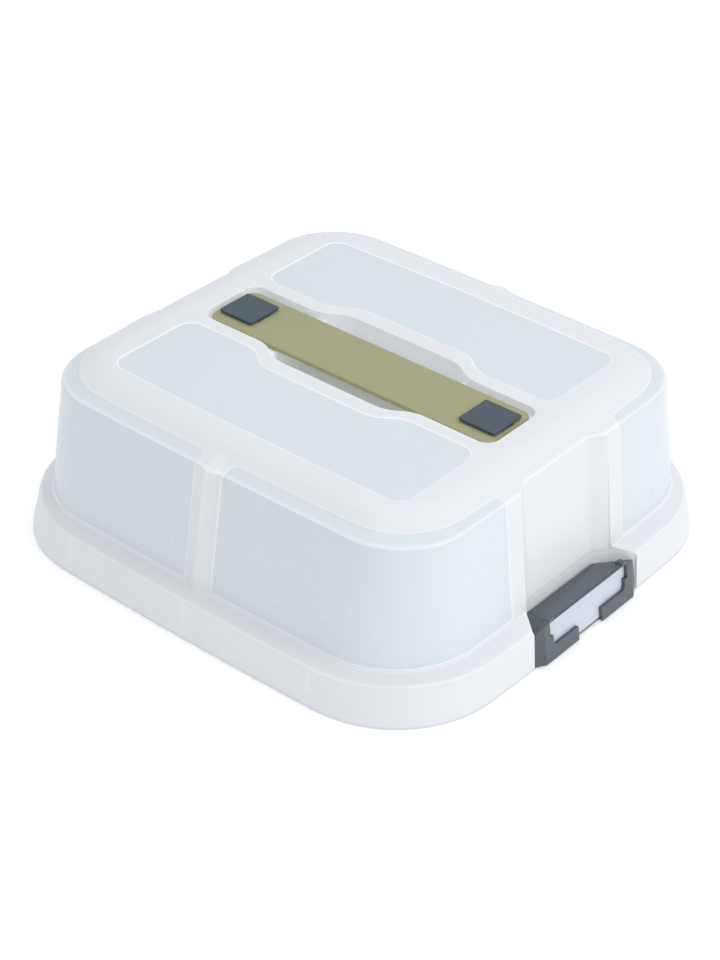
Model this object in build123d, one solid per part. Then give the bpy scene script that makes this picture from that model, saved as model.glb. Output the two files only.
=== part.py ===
from build123d import *
import math
import os

os.makedirs("parts", exist_ok=True)

# A rectangular cake carrier: a tall translucent hood over a low tray, two clip
# latches with label windows, and a strap handle held by two square caps.
# Millimetres. X runs along the handle towards the right latch, Z is up, and the
# origin is on the table under the middle of the tray.

# Hood, outside. Half sizes are at the middle of a side, where the sides bow out.
hood_half_x = 184.5
hood_half_y = 174.5
hood_wall = 2.0
skirt_bottom_z = 0.8
skirt_height = 23.6
skirt_flare = 1.9
skirt_corner = 80.0
skirt_bow = 4.5
rim_corner = 88.0
rim_round = 4.4
rim_round_rise = 4.4
rim_turn_run = 0.3
rim_turn_rise = 0.75
rim_round_corner = 88.0
ledge_corner = 88.0
ledge_bow = 4.0
ledge_width_x = 8.3
ledge_width_y = 6.7
ledge_rise = 2.8
foot_corner = 65.0
foot_fillet = 1.6
wall_corner = 64.0
wall_bow = 2.5
wall_rise = 80.5
wall_lean_x = 9.8
wall_lean_y = 12.8
crease_corner = 49.0
crease_bow = 2.2
shoulder_width_x = 7.6
shoulder_width_y = 10.6
shoulder_rise = 3.7
shoulder_corner = 48.0
brow_width = 8.0
brow_rise = 4.2
brow_corner = 44.0
crown_width = 9.0
crown_rise = 1.8
crown_corner = 38.0
crown_bow = 2.0

# Windows: thin clear fields let into the frosted top and walls
window_step = 0.4
window_inset_x = 64.5
window_inset_y = 62.5
window_inner_y = 36.5
window_bay_y = 49.0
window_corner = 11.0
window_bow = 2.0
window_curve_start = 70.0
window_curve_end = 38.0
side_window_gap_x = 11.0
side_window_gap_y = 58.0
side_window_foot = 1.8
side_window_foot_corner = 2.0
side_window_corner = 8.0

# Upright ribs in the middle of the two long walls
rib_half_width = 9.5
rib_height = 2.4
rib_top_height = 0.5
rib_root = 5.0

# Recesses above the latches: a flat floor between two slanted sides
recess_depth = 7.1
recess_foot_depth = 8.3
recess_side_run = 7.0
recess_floor_half_y = 33.5
recess_mouth_half_y = 44.5
recess_round = 7.0

# Notch in the skirt that the latch sits in
notch_flank_depth = 4.0
notch_flank_y = 54.6
notch_side_growth = 0.4
notch_over_ledge = 0.5
hood_seat_gap = 0.3
hood_seat_play = 0.6

# Handle strap, lying in its own channel on top of the hood
channel_half_length = 120.0
channel_half_width = 26.0
channel_corner = 9.0
channel_curve_growth = 0.5
strap_end_gap = 2.7
strap_side_gap = 3.3
strap_thickness = 3.0
strap_corner = 7.0
strap_below_top = 2.6
strap_floor_gap = 0.5
hinge_gap = 0.4
grip_half_length = 38.0
tab_hinge_x = 78.0
slot_end_wall = 2.7
slot_length = 27.8
slot_half_width = 6.5
bay_half_width = 36.8
bay_depth = 19.7
bay_half_length = 58.0
bay_curve_start = 70.0
bay_curve_end = 38.0

# Square caps that hold the strap's ends
cap_end_inset = 2.5
cap_half = 14.2
cap_thickness = 2.5
cap_gap = 0.3
cap_bevel = 0.7
cap_corner = 1.5
stem_inset = 0.8
stem_length = 20.2
stem_half_width = 5.8
stem_root = 0.5
stem_fit = 0.15
barb_inset = 3.0
barb_reach = 1.2
barb_height = 1.8

# Tray
tray_inset = 5.5
tray_wall = 2.2
tray_height = 7.7
tray_corner_drop = 5.0
tray_rim_inset = 27.0
tray_rim_height = 8.3
tray_rim_corner = 50.0
tray_ring_inset_x = 74.0
tray_ring_inset_y = 71.0
tray_ring_corner = 42.0
tray_notch_depth = 4.8
tray_notch_gap_y = 3.8

# Gussets under the ledge, which stand on the tray's flange
gusset_thickness = 2.0
gusset_inset_x = 83.5
gusset_inset_y = 86.5
gusset_depth = 9.0
gusset_root = 1.0

# Latch. The plan of its back follows the notch; its front leans back with the face.
latch_proud = 2.9
latch_bottom_z = 1.0
latch_lean_deg = 8.5
latch_top_z = 29.2
latch_edge = 0.7
latch_face_inset = 6.9
latch_flank_run = 4.4
latch_flank_width = 7.5
latch_side_gap = 1.2
latch_flank_back = 2.5
latch_flank_top_z = 24.3
latch_back_gap = 0.6
latch_corner_gap_x = 0.8
latch_corner_gap_y = 0.7
latch_floor_gap_y = 0.3
latch_foot_gap = 1.2
latch_shoulder_inset = 2.0
latch_wall = 2.2
latch_panel = 1.8
latch_rib = 2.4
latch_rib_root = 0.5
latch_rib_places = (-24.0, -8.0, 8.0, 24.0)
nose_radius = 3.1
pivot_depth = 4.0
pivot_z = 19.6
pin_radius = 1.2
pin_reach = 2.7
pin_clearance = 0.05
hook_reach = 3.0
hook_thickness = 2.8
hook_gap = 0.3
hook_half_y = 26.0

# Raised ears at the two upper corners of the latch's frame
ear_start = -5.2
ear_top_start = -4.4
ear_top_end = -0.4
ear_end = 5.2
ear_top = 29.7
ear_shoulder = 23.9
ear_lap = 1.5
ear_depth = 5.5

# Label card and its window in the latch's face
card_thickness = 0.5
card_slot = 1.0
card_half_y = 42.3
card_side_play = 0.5
card_height = 24.0
card_foot = 1.8
card_play = 0.2
card_headroom = 0.4
frame_depth = 2.4
window_top = 27.4
window_shoulder = 17.2
window_bottom = 9.6
window_card_lap = 1.3
window_lower_inset = 3.0
window_round = 3.0
lip_gap_half = 12.5
slot_round = 1.5
window_lap = 0.1

# Heights and half sizes that follow from the sizes above
rim_z = skirt_bottom_z + skirt_height
ledge_z = rim_z + rim_round_rise
foot_z = ledge_z + ledge_rise
crease_z = foot_z + foot_fillet + wall_rise
shoulder_z = crease_z + shoulder_rise
brow_z = shoulder_z + brow_rise
hood_top_z = brow_z + crown_rise
window_half_x = hood_half_x - window_inset_x
window_outer_y = hood_half_y - window_inset_y
strap_half_length = channel_half_length - strap_end_gap
strap_half_width = channel_half_width - strap_side_gap
slot_end_x = strap_half_length - slot_end_wall
slot_start_x = slot_end_x - slot_length
cap_centre_x = strap_half_length - cap_end_inset - cap_half
stem_start_x = cap_centre_x - cap_half + stem_inset
stem_end_x = stem_start_x + stem_length
strap_top_z = hood_top_z - strap_below_top
strap_bottom_z = strap_top_z - strap_thickness
channel_z = strap_bottom_z - strap_floor_gap
bay_z = hood_top_z - bay_depth
foot_inset_x = skirt_flare + rim_round + ledge_width_x
foot_inset_y = skirt_flare + rim_round + ledge_width_y
wall_foot_x = hood_half_x - foot_inset_x - foot_fillet
gusset_foot_z = tray_height + hood_seat_gap
recess_slope = (recess_mouth_half_y - recess_floor_half_y) / recess_side_run
recess_crease_x = wall_foot_x - wall_lean_x - recess_depth
notch_floor_x = wall_foot_x - recess_foot_depth
recess_lean = (notch_floor_x - recess_crease_x) / (crease_z - foot_z)
notch_mouth_x = notch_floor_x + recess_side_run
notch_flank_x = hood_half_x - notch_flank_depth
gusset_place_x = hood_half_x - gusset_inset_x
gusset_place_y = hood_half_y - gusset_inset_y
tray_half_x = hood_half_x - tray_inset
tray_half_y = hood_half_y - tray_inset
tray_corner = skirt_corner - tray_corner_drop
tray_ring_half_x = tray_half_x - tray_ring_inset_x
tray_ring_half_y = tray_half_y - tray_ring_inset_y
tray_notch_x = notch_floor_x + tray_notch_depth
tray_notch_half_y = notch_flank_y + tray_notch_gap_y
latch_face_x = hood_half_x + latch_proud
latch_flank_half_y = notch_flank_y - latch_side_gap
latch_flank_back_x = hood_half_x - latch_flank_back
latch_back_x = notch_floor_x + latch_back_gap
latch_back_half_y = recess_floor_half_y - latch_floor_gap_y
latch_mid_x = notch_mouth_x + latch_corner_gap_x
latch_mid_half_y = recess_mouth_half_y - latch_corner_gap_y
latch_foot_x = tray_notch_x + latch_foot_gap
latch_face_half_y = latch_flank_half_y - latch_face_inset
latch_shoulder_half_y = latch_face_half_y - latch_shoulder_inset
pivot_x = notch_floor_x + pivot_depth
pin_half_length = recess_floor_half_y + recess_slope * pivot_depth + pin_reach
card_slot_half_y = card_half_y + card_side_play
window_half_upper = card_half_y - window_card_lap
window_half_lower = window_half_upper - window_lower_inset
ear_start_y = window_half_upper + ear_start
ear_top_start_y = window_half_upper + ear_top_start
ear_top_end_y = window_half_upper + ear_top_end
ear_end_y = window_half_upper + ear_end
lean_rate = math.tan(math.radians(latch_lean_deg))
latch_skin = frame_depth + card_slot + latch_panel

# How far cutting shapes and joining shapes run past the surfaces they meet
past = 1.0
above = hood_top_z + 10.0
below = -10.0
far = 2 * (hood_half_x + hood_half_y)


def ring(half_x, half_y, corner, bow, z=0.0):
    """A flat face with four bowed sides and round corners."""
    a = half_x - bow
    b = half_y - bow
    with BuildSketch() as sketch:
        with BuildLine():
            ThreePointArc((a, -b), (half_x, 0), (a, b))
            ThreePointArc((a, b), (0, half_y), (-a, b))
            ThreePointArc((-a, b), (-half_x, 0), (-a, -b))
            ThreePointArc((-a, -b), (0, -half_y), (a, -b))
        make_face()
        fillet(sketch.vertices(), corner)
    return Pos(0, 0, z) * sketch.sketch.face()


def hood_levels():
    """Height, inset in X, inset in Y, corner radius and bow, from rim to crown."""
    levels = [(skirt_bottom_z, 0.0, 0.0, skirt_corner, skirt_bow)]
    levels.append((rim_z, skirt_flare, skirt_flare, rim_corner, skirt_bow))
    turn = skirt_flare + rim_turn_run * rim_round
    turn_z = rim_z + rim_turn_rise * rim_round_rise
    levels.append((turn_z, turn, turn, rim_round_corner, skirt_bow))
    inset = skirt_flare + rim_round
    levels.append((ledge_z, inset, inset, ledge_corner, ledge_bow))
    levels.append((foot_z, foot_inset_x, foot_inset_y, foot_corner, wall_bow))
    in_x = foot_inset_x + foot_fillet
    in_y = foot_inset_y + foot_fillet
    levels.append((foot_z + foot_fillet, in_x, in_y, wall_corner, wall_bow))
    in_x += wall_lean_x
    in_y += wall_lean_y
    levels.append((crease_z, in_x, in_y, crease_corner, crease_bow))
    in_x += shoulder_width_x
    in_y += shoulder_width_y
    levels.append((shoulder_z, in_x, in_y, shoulder_corner, crease_bow))
    in_x += brow_width
    in_y += brow_width
    levels.append((brow_z, in_x, in_y, brow_corner, crown_bow))
    in_x += crown_width
    in_y += crown_width
    levels.append((hood_top_z, in_x, in_y, crown_corner, crown_bow))
    return levels


def moved_in(levels, wall):
    """The same levels moved inwards, square to the surface, by a wall thickness."""
    steps = []
    for low, high in zip(levels, levels[1:]):
        rise = high[0] - low[0]
        run = high[1] - low[1]
        length = math.hypot(rise, run)
        steps.append((rise / length, -run / length))
    steps.append((0.0, -1.0))
    inner = []
    for place, level in enumerate(levels):
        before = steps[max(place - 1, 0)]
        after = steps[place]
        share = 1.0 + before[0] * after[0] + before[1] * after[1]
        inwards = wall * (before[0] + after[0]) / share
        upwards = wall * (before[1] + after[1]) / share
        z, in_x, in_y, corner, bow = level
        inner.append((z + upwards, in_x + inwards, in_y + inwards, corner - inwards, bow))
    return inner


def stack(levels):
    """A solid through the given levels, straight between each two of them."""
    faces = [ring(hood_half_x - in_x, hood_half_y - in_y, corner, bow, z)
             for z, in_x, in_y, corner, bow in levels]
    return loft(faces, ruled=True)


def waisted(half_length, end_half, mid_half, curve_start, curve_end, corner):
    """An outline that widens, by two S curves a side, around the middle."""
    middle_x = (curve_start + curve_end) / 2
    middle_y = (end_half + mid_half) / 2
    with BuildSketch() as quarter:
        with BuildLine():
            edge = Line((half_length, 0), (half_length, end_half))
            top = Line(edge @ 1, (curve_start, end_half))
            first = TangentArc(top @ 1, (middle_x, middle_y), tangent=(-1, 0))
            second = TangentArc(first @ 1, (curve_end, mid_half), tangent=first % 1)
            middle = Line(second @ 1, (0, mid_half))
            back = Line(middle @ 1, (0, 0))
            Line(back @ 1, (half_length, 0))
        make_face()
        at_end = quarter.vertices().filter_by_position(Axis.X, half_length - 0.1, far)
        corners = at_end.filter_by_position(Axis.Y, end_half - 0.1, far)
        fillet(corners, corner)
    one = quarter.sketch
    half = one + mirror(one, Plane.YZ)
    return half + mirror(half, Plane.XZ)


def prism(sketch, low, high):
    """A sketch drawn up from one height to another."""
    return extrude(Pos(0, 0, low) * sketch, high - low)


def block(low_x, high_x, low_y, high_y, low_z, high_z):
    """A box between two corners."""
    size = Box(high_x - low_x, high_y - low_y, high_z - low_z)
    return Pos((low_x + high_x) / 2, (low_y + high_y) / 2, (low_z + high_z) / 2) * size


def side_prism(points, half_y):
    """An upright XZ outline drawn out to both sides of the middle."""
    with BuildSketch(Plane.XZ) as sketch:
        with BuildLine():
            Polyline(*points, close=True)
        make_face()
    return extrude(sketch.sketch, half_y, both=True)


def plan_sketch(points):
    """A plan outline given for +Y, closed by its mirror image."""
    others = [(x, -y) for x, y in reversed(points)]
    with BuildSketch() as sketch:
        with BuildLine():
            Polyline(*points, *others, close=True)
        make_face()
    return sketch.sketch


def both_ends(shape):
    """A shape and its mirror image at the other end of the handle."""
    return shape + mirror(shape, Plane.YZ)


def recess_floor_x(z):
    """Outer face of the recess floor, which leans a little less than the wall."""
    return recess_crease_x + recess_lean * (crease_z - z)


def recess_face(z, grow):
    """The recess seen from above at one height, made larger all round by grow."""
    floor_x = recess_floor_x(z) - grow
    side = grow * (math.hypot(1.0, recess_slope) - recess_slope)
    floor_y = recess_floor_half_y + side
    mouth_y = recess_mouth_half_y + grow
    mouth_x = floor_x + (mouth_y - floor_y) / recess_slope
    points = [(far / 2, -mouth_y), (mouth_x, -mouth_y), (floor_x, -floor_y),
              (floor_x, floor_y), (mouth_x, mouth_y), (far / 2, mouth_y)]
    with BuildSketch() as sketch:
        with BuildLine():
            Polyline(*points, close=True)
        make_face()
        near = sketch.vertices().filter_by_position(Axis.X, floor_x - 1.0, floor_x + 0.1)
        fillet(near, recess_round - grow)
    return Pos(0, 0, z) * sketch.sketch.face()


def recess(grow):
    """One wall recess, from the ledge up through the shoulder."""
    return loft([recess_face(ledge_z - past, grow), recess_face(above, grow)], ruled=True)


def notch(grow):
    """The pocket in the skirt that one latch fills, down to the table."""
    floor_x = notch_floor_x - grow
    points = [(floor_x, recess_floor_half_y + notch_side_growth * grow),
              (floor_x + recess_side_run, recess_mouth_half_y + grow),
              (notch_flank_x, notch_flank_y + grow), (far / 2, notch_flank_y + grow)]
    return prism(plan_sketch(points), below, foot_z + notch_over_ledge + grow)


def wall_rib(grow, levels):
    """One upright rib on the +Y wall, round across, through (height, wall, rise) levels."""
    faces = []
    for z, wall_y, rise in levels:
        half = rib_half_width - grow
        base = wall_y - grow
        with BuildSketch() as sketch:
            with BuildLine():
                ThreePointArc((half, base), (0, base + rise), (-half, base))
                Polyline((-half, base), (-half, base - rib_root), (half, base - rib_root),
                         (half, base))
            make_face()
        faces.append(Pos(0, 0, z) * sketch.sketch.face())
    return loft(faces, ruled=True)


def window_side(low_x, low_y, along, inwards):
    """A block as tall as the side windows, its two inner edges along one axis rounded."""
    side = block(low_x, far / 2, low_y, far / 2, foot_z + side_window_foot, shoulder_z)
    foot = side.edges().filter_by(along).sort_by(inwards)[:2].sort_by(Axis.Z)[0]
    side = fillet(foot, side_window_foot_corner)
    top = side.edges().filter_by(along).sort_by(inwards)[:2].sort_by(Axis.Z)[1]
    return fillet(top, side_window_corner)


def corner_windows(outer, levels):
    """Thin clear fields that wrap the four corners, from the ledge over the shoulder."""
    skin = outer - stack(moved_in(levels, window_step))
    field = window_side(0.0, side_window_gap_y, Axis.X, Axis.Y)
    field = field & window_side(side_window_gap_x, 0.0, Axis.Y, Axis.X)
    one = skin & field
    pair = one + mirror(one, Plane.XZ)
    return both_ends(pair)


def top_window():
    """Plan of the clear field on the +Y half of the top, waisted towards the handle."""
    far_y = window_outer_y - window_bow
    mid_x = (window_curve_start + window_curve_end) / 2
    mid_y = (window_inner_y + window_bay_y) / 2
    with BuildSketch() as sketch:
        with BuildLine():
            ThreePointArc((window_half_x, far_y), (0, window_outer_y), (-window_half_x, far_y))
            Polyline((-window_half_x, far_y), (-window_half_x, window_inner_y),
                     (-window_curve_start, window_inner_y))
            rise = TangentArc((-window_curve_start, window_inner_y), (-mid_x, mid_y),
                              tangent=(1, 0))
            TangentArc(rise @ 1, (-window_curve_end, window_bay_y), tangent=rise % 1)
            Line((-window_curve_end, window_bay_y), (window_curve_end, window_bay_y))
            fall = TangentArc((window_curve_end, window_bay_y), (mid_x, mid_y), tangent=(1, 0))
            TangentArc(fall @ 1, (window_curve_start, window_inner_y), tangent=fall % 1)
            Polyline((window_curve_start, window_inner_y), (window_half_x, window_inner_y),
                     (window_half_x, far_y))
        make_face()
        corners = [v for v in sketch.vertices() if abs(v.X) > window_half_x - 0.1]
        fillet(corners, window_corner)
    return sketch.sketch


def make_hood():
    """The hood: one thin moulding with its recesses, channel, gussets and lugs."""
    outer_levels = hood_levels()
    outer = stack(outer_levels)
    inner = stack(moved_in(outer_levels, hood_wall))
    inner += extrude(ring(hood_half_x - hood_wall, hood_half_y - hood_wall,
                          skirt_corner - hood_wall, skirt_bow, below), skirt_bottom_z + past - below)
    foot_y = hood_half_y - foot_inset_y - foot_fillet
    crease_y = foot_y - wall_lean_y
    outer_rib = wall_rib(0.0, [(foot_z - past, foot_y, rib_height),
                               (crease_z, crease_y, rib_height),
                               (shoulder_z, crease_y - shoulder_width_y, rib_top_height)])
    inner_rib = wall_rib(hood_wall, [(foot_z - past, foot_y, rib_height),
                                     (crease_z - hood_wall, crease_y, rib_height)])
    inner += inner_rib + mirror(inner_rib, Plane.XZ)

    channel = waisted(channel_half_length, channel_half_width, bay_half_width,
                      bay_curve_start, bay_curve_end, channel_corner)
    channel_wide = waisted(channel_half_length + hood_wall, channel_half_width + hood_wall,
                           bay_half_width + hood_wall, bay_curve_start + channel_curve_growth,
                           bay_curve_end + channel_curve_growth, channel_corner + hood_wall)
    bay = channel & Rectangle(2 * bay_half_length, 2 * bay_half_width)
    bay_wide = channel_wide & Rectangle(2 * (bay_half_length + hood_wall),
                                        2 * (bay_half_width + hood_wall))
    pockets = prism(channel, channel_z, above) + prism(bay, bay_z, above)
    swollen = (prism(channel_wide, channel_z - hood_wall, above)
               + prism(bay_wide, bay_z - hood_wall, above))

    field = top_window()
    pane = prism(field, hood_top_z - window_step, above)
    panes = pane + mirror(pane, Plane.XZ)

    panes += corner_windows(outer, outer_levels)
    outer += outer_rib + mirror(outer_rib, Plane.XZ)
    hood = outer - both_ends(recess(0.0)) - both_ends(notch(0.0)) - pockets - panes
    hollow = inner - both_ends(recess(hood_wall)) - both_ends(notch(hood_wall)) - swollen
    shell = hood - hollow
    seat = block(tray_notch_x - tray_rim_inset, tray_notch_x + hood_seat_play,
                 -tray_notch_half_y, tray_notch_half_y, below, gusset_foot_z)
    shell -= both_ends(seat)

    seats = gussets() & outer
    seats -= both_ends(notch(0.0))
    shell += seats
    shell -= both_ends(make_pin())
    stem_hole = block(stem_start_x - stem_fit, stem_end_x + stem_fit,
                      -stem_half_width - stem_fit, stem_half_width + stem_fit,
                      channel_z - hood_wall - past, channel_z + past)
    shell -= both_ends(stem_hole)
    return shell


def gussets():
    """Upright plates between the skirt and the ledge, their feet over the flange."""
    plates = []
    half = gusset_thickness / 2
    for x in (-gusset_place_x, 0.0, gusset_place_x):
        for side in (1, -1):
            edge = side * (hood_half_y - gusset_root)
            back = side * (hood_half_y - hood_wall - gusset_depth)
            plates.append(block(x - half, x + half, min(edge, back), max(edge, back),
                                gusset_foot_z, ledge_z))
    for y in (-gusset_place_y, gusset_place_y):
        for side in (1, -1):
            edge = side * (hood_half_x - gusset_root - skirt_bow / 3)
            back = side * (hood_half_x - hood_wall - gusset_depth)
            plates.append(block(min(edge, back), max(edge, back), y - half, y + half,
                                gusset_foot_z, ledge_z))
    return plates[0].fuse(*plates[1:])


def hoop(half_x, half_y, corner, bow, height):
    """An upright wall that follows a bowed ring, standing on the table plane."""
    outer = extrude(ring(half_x, half_y, corner, bow), height)
    inner = extrude(ring(half_x - tray_wall, half_y - tray_wall, corner - tray_wall, bow), height)
    return outer - inner


def make_tray():
    """The tray: a flat plate with a flange, an edge lip and a low rim round the cake."""
    body = extrude(ring(tray_half_x, tray_half_y, tray_corner, skirt_bow), tray_height)
    hollow = extrude(ring(tray_half_x - tray_wall, tray_half_y - tray_wall,
                          tray_corner - tray_wall, skirt_bow), tray_height - tray_wall)
    rim = hoop(hood_half_x - tray_rim_inset, hood_half_y - tray_rim_inset, tray_rim_corner,
               wall_bow, tray_height + tray_rim_height)
    support = hoop(tray_ring_half_x, tray_ring_half_y, tray_ring_corner, wall_bow,
                   tray_height - tray_wall / 2)
    tray = body - hollow + rim + support
    cut = block(tray_notch_x, far / 2, -tray_notch_half_y, tray_notch_half_y, below, above)
    return tray - both_ends(cut)


def across(radius, half_length):
    """A round bar along the right latch's pivot line."""
    return Pos(pivot_x, 0, pivot_z) * Rot(90, 0, 0) * Cylinder(radius, 2 * half_length)


def leaned(shape):
    """A shape drawn against an upright face, tipped back to the latch's lean."""
    return Pos(latch_face_x, 0, latch_bottom_z) * Rot(0, -latch_lean_deg, 0) * shape


def latch_profile(inset, front):
    """Side view of the latch, lowered by inset at its top and set back by front."""
    top_x = latch_face_x - lean_rate * (latch_top_z - latch_bottom_z) - front
    top_z = latch_top_z - inset
    return [(pivot_x, pivot_z + nose_radius - inset), (top_x - 2 * latch_edge, top_z),
            (top_x, top_z - latch_edge), (latch_face_x - front, latch_bottom_z),
            (latch_foot_x, latch_bottom_z), (pivot_x, pivot_z - nose_radius)]


def latch_back_plan():
    """Plan of the latch behind its face: it widens with the notch, then runs straight."""
    return plan_sketch([(latch_back_x, latch_back_half_y), (latch_mid_x, latch_mid_half_y),
                        (latch_flank_back_x, latch_flank_half_y),
                        (far / 2, latch_flank_half_y)])


def latch_front_plan():
    """Plan of the leaned front: the face at zero, and the two slanted flanks."""
    run = 2 * latch_flank_run
    return plan_sketch([(-far / 8, latch_face_half_y + 2 * latch_flank_width),
                        (-run, latch_face_half_y + 2 * latch_flank_width),
                        (0, latch_face_half_y)])


def wing_cut():
    """Everything above the sloping wing at the latch's +Y end."""
    near = Vector(pivot_x, latch_back_half_y + past, pivot_z + nose_radius)
    front = Vector(latch_face_x - lean_rate * (latch_top_z - latch_bottom_z),
                   latch_shoulder_half_y, latch_top_z)
    outer = Vector(latch_flank_back_x, latch_flank_half_y, latch_flank_top_z)
    slope = (front - near).cross(outer - near).normalized()
    return extrude(Plane(near, z_dir=slope) * Rectangle(far / 4, far / 4), far / 8)


def ear():
    """The raised corner of the latch's frame at its +Y end."""
    inner_y = window_half_upper + ear_lap
    points = [(ear_start_y, window_top), (ear_top_start_y, ear_top), (ear_top_end_y, ear_top),
              (ear_end_y, ear_shoulder), (ear_end_y, ear_shoulder - ear_lap),
              (inner_y, ear_shoulder - ear_lap), (inner_y, window_top)]
    with BuildSketch(Plane.YZ) as sketch:
        with BuildLine():
            Polyline(*points, close=True)
        make_face()
    return leaned(extrude(sketch.sketch, -ear_depth))


def make_latch():
    """The right latch: face with a label window, top, flanks, ribs, hinge nose and hook."""
    back_plan = latch_back_plan()
    front_plan = latch_front_plan()
    solid = side_prism(latch_profile(0.0, 0.0), far / 4)
    solid &= prism(back_plan, below, above)
    solid &= leaned(prism(front_plan, below, above))
    hollow = latch_profile(latch_wall, latch_skin)
    hollow = hollow[:3] + [(latch_face_x - latch_skin - lean_rate * below, below),
                           (latch_foot_x, below), (pivot_x, pivot_z - nose_radius)]
    cavity = side_prism(hollow, far / 4)
    cavity &= prism(offset(back_plan, -latch_wall, kind=Kind.INTERSECTION), below, above)
    cavity &= leaned(prism(offset(front_plan, -latch_wall, kind=Kind.INTERSECTION), below, above))
    wing = wing_cut()
    low_wing = Pos(0, 0, -latch_wall) * wing
    cavity -= low_wing + mirror(low_wing, Plane.XZ)
    latch = solid - cavity
    latch += across(nose_radius, latch_mid_half_y) & prism(back_plan, below, above)
    latch -= wing + mirror(wing, Plane.XZ)
    corner = ear()
    latch += corner + mirror(corner, Plane.XZ)

    hook_top = tray_height - tray_wall - hook_gap
    front_x = latch_face_x - latch_skin + past
    hook = block(tray_notch_x - hook_reach, front_x, -hook_half_y, hook_half_y,
                 hook_top - hook_thickness, hook_top)
    rib = side_prism([(pivot_x, pivot_z + nose_radius - past),
                      (front_x - lean_rate * latch_top_z, latch_top_z - latch_wall + latch_rib_root),
                      (front_x - latch_rib_root, hook_top - hook_thickness),
                      (latch_foot_x, hook_top - hook_thickness),
                      (pivot_x, pivot_z - nose_radius)], latch_rib / 2)
    for place in latch_rib_places:
        hook += Pos(0, place, 0) * rib
    latch += hook
    latch -= across(pin_radius + pin_clearance, latch_mid_half_y + past)
    latch -= label_window()
    return latch


def label_window():
    """The slot for the card and the stepped opening in front of it."""
    slot = block(-frame_depth - card_slot, -frame_depth, -card_slot_half_y, card_slot_half_y,
                 card_foot, card_foot + card_height + card_headroom)
    back = -frame_depth - card_slot / 2
    upper = block(back, far / 8, -window_half_upper, window_half_upper,
                  window_shoulder, window_top)
    lower = block(back, far / 8, -window_half_lower, window_half_lower,
                  window_bottom, window_shoulder + window_lap)
    lower = fillet(lower.edges().filter_by(Axis.X).sort_by(Axis.Z)[:2], window_round)
    gap = block(back, far / 8, -lip_gap_half, lip_gap_half, below, window_bottom + window_lap)
    return leaned(slot + upper + lower + gap)


def make_card():
    """The blank label card behind the right latch's window."""
    middle = -frame_depth - card_slot / 2
    foot = card_foot + card_play
    card = block(middle - card_thickness / 2, middle + card_thickness / 2, -card_half_y,
                 card_half_y, foot, foot + card_height)
    return leaned(card)


def make_pin():
    """The steel pin that the right latch swings on, held by the sides of the notch."""
    return across(pin_radius, pin_half_length)


def strap_piece(low_x, high_x):
    """A flat length of the strap between two places along the handle."""
    return block(low_x, high_x, -strap_half_width, strap_half_width,
                 strap_bottom_z, strap_top_z)


def make_tab():
    """The strap's right end, with the slot that slides on the cap's stem."""
    tab = strap_piece(tab_hinge_x + hinge_gap / 2, strap_half_length)
    corners = tab.edges().filter_by(Axis.Z).sort_by(Axis.X)[-2:]
    tab = fillet(corners, strap_corner)
    slot = block(slot_start_x, slot_end_x, -slot_half_width, slot_half_width,
                 strap_bottom_z - past, strap_top_z + past)
    slot = fillet(slot.edges().filter_by(Axis.Z), slot_round)
    return tab - slot


def make_cap():
    """The right cap: a square plate on a stem with barbs below the channel floor."""
    plate = block(cap_centre_x - cap_half, cap_centre_x + cap_half, -cap_half, cap_half,
                  strap_top_z + cap_gap, strap_top_z + cap_gap + cap_thickness)
    plate = fillet(plate.edges().filter_by(Axis.Z), cap_corner)
    plate = chamfer(plate.faces().sort_by(Axis.Z)[-1].edges(), cap_bevel)
    barb_top = channel_z - hood_wall - stem_fit
    stem = block(stem_start_x, stem_end_x, -stem_half_width, stem_half_width,
                 barb_top - barb_height, strap_top_z + cap_gap + stem_root)
    barb = block(stem_start_x + barb_inset, stem_end_x - barb_inset,
                 -stem_half_width - barb_reach, stem_half_width + barb_reach,
                 barb_top - barb_height, barb_top)
    return plate + stem + barb


def save(shape, name):
    """Writes one node."""
    export_step(shape, "parts/" + name + ".step")


def save_pair(shape, name):
    """Writes a node for the right-hand end and its mirror image for the left."""
    save(shape, name + "_right")
    save(mirror(shape, Plane.YZ), name + "_left")


save(make_hood(), "hood")
save(make_tray(), "base_tray")
save_pair(make_latch(), "latch")
save_pair(make_card(), "label_card")
save_pair(make_pin(), "latch_pin")
save(strap_piece(-grip_half_length, grip_half_length), "handle_grip")
save_pair(strap_piece(grip_half_length + hinge_gap, tab_hinge_x - hinge_gap / 2), "handle_ramp")
save_pair(make_tab(), "handle_tab")
save_pair(make_cap(), "handle_cap")
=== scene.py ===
"""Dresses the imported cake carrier.

A frosted hood with clear panes stands on a low tray. Two grey clip latches hold
blank label cards, and an olive strap lies in a channel under two square caps.
The classes hold sizes in millimetres; meshes are in metres. X runs along the
handle, Z is up, and the origin is on the table under the middle of the tray.
"""
import logging
import math
from contextlib import contextmanager
from dataclasses import dataclass
from enum import Enum
from typing import Any, Iterable, Iterator, Sequence

import bmesh
import bpy
import numpy as np
from mathutils import Matrix, Vector


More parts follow.
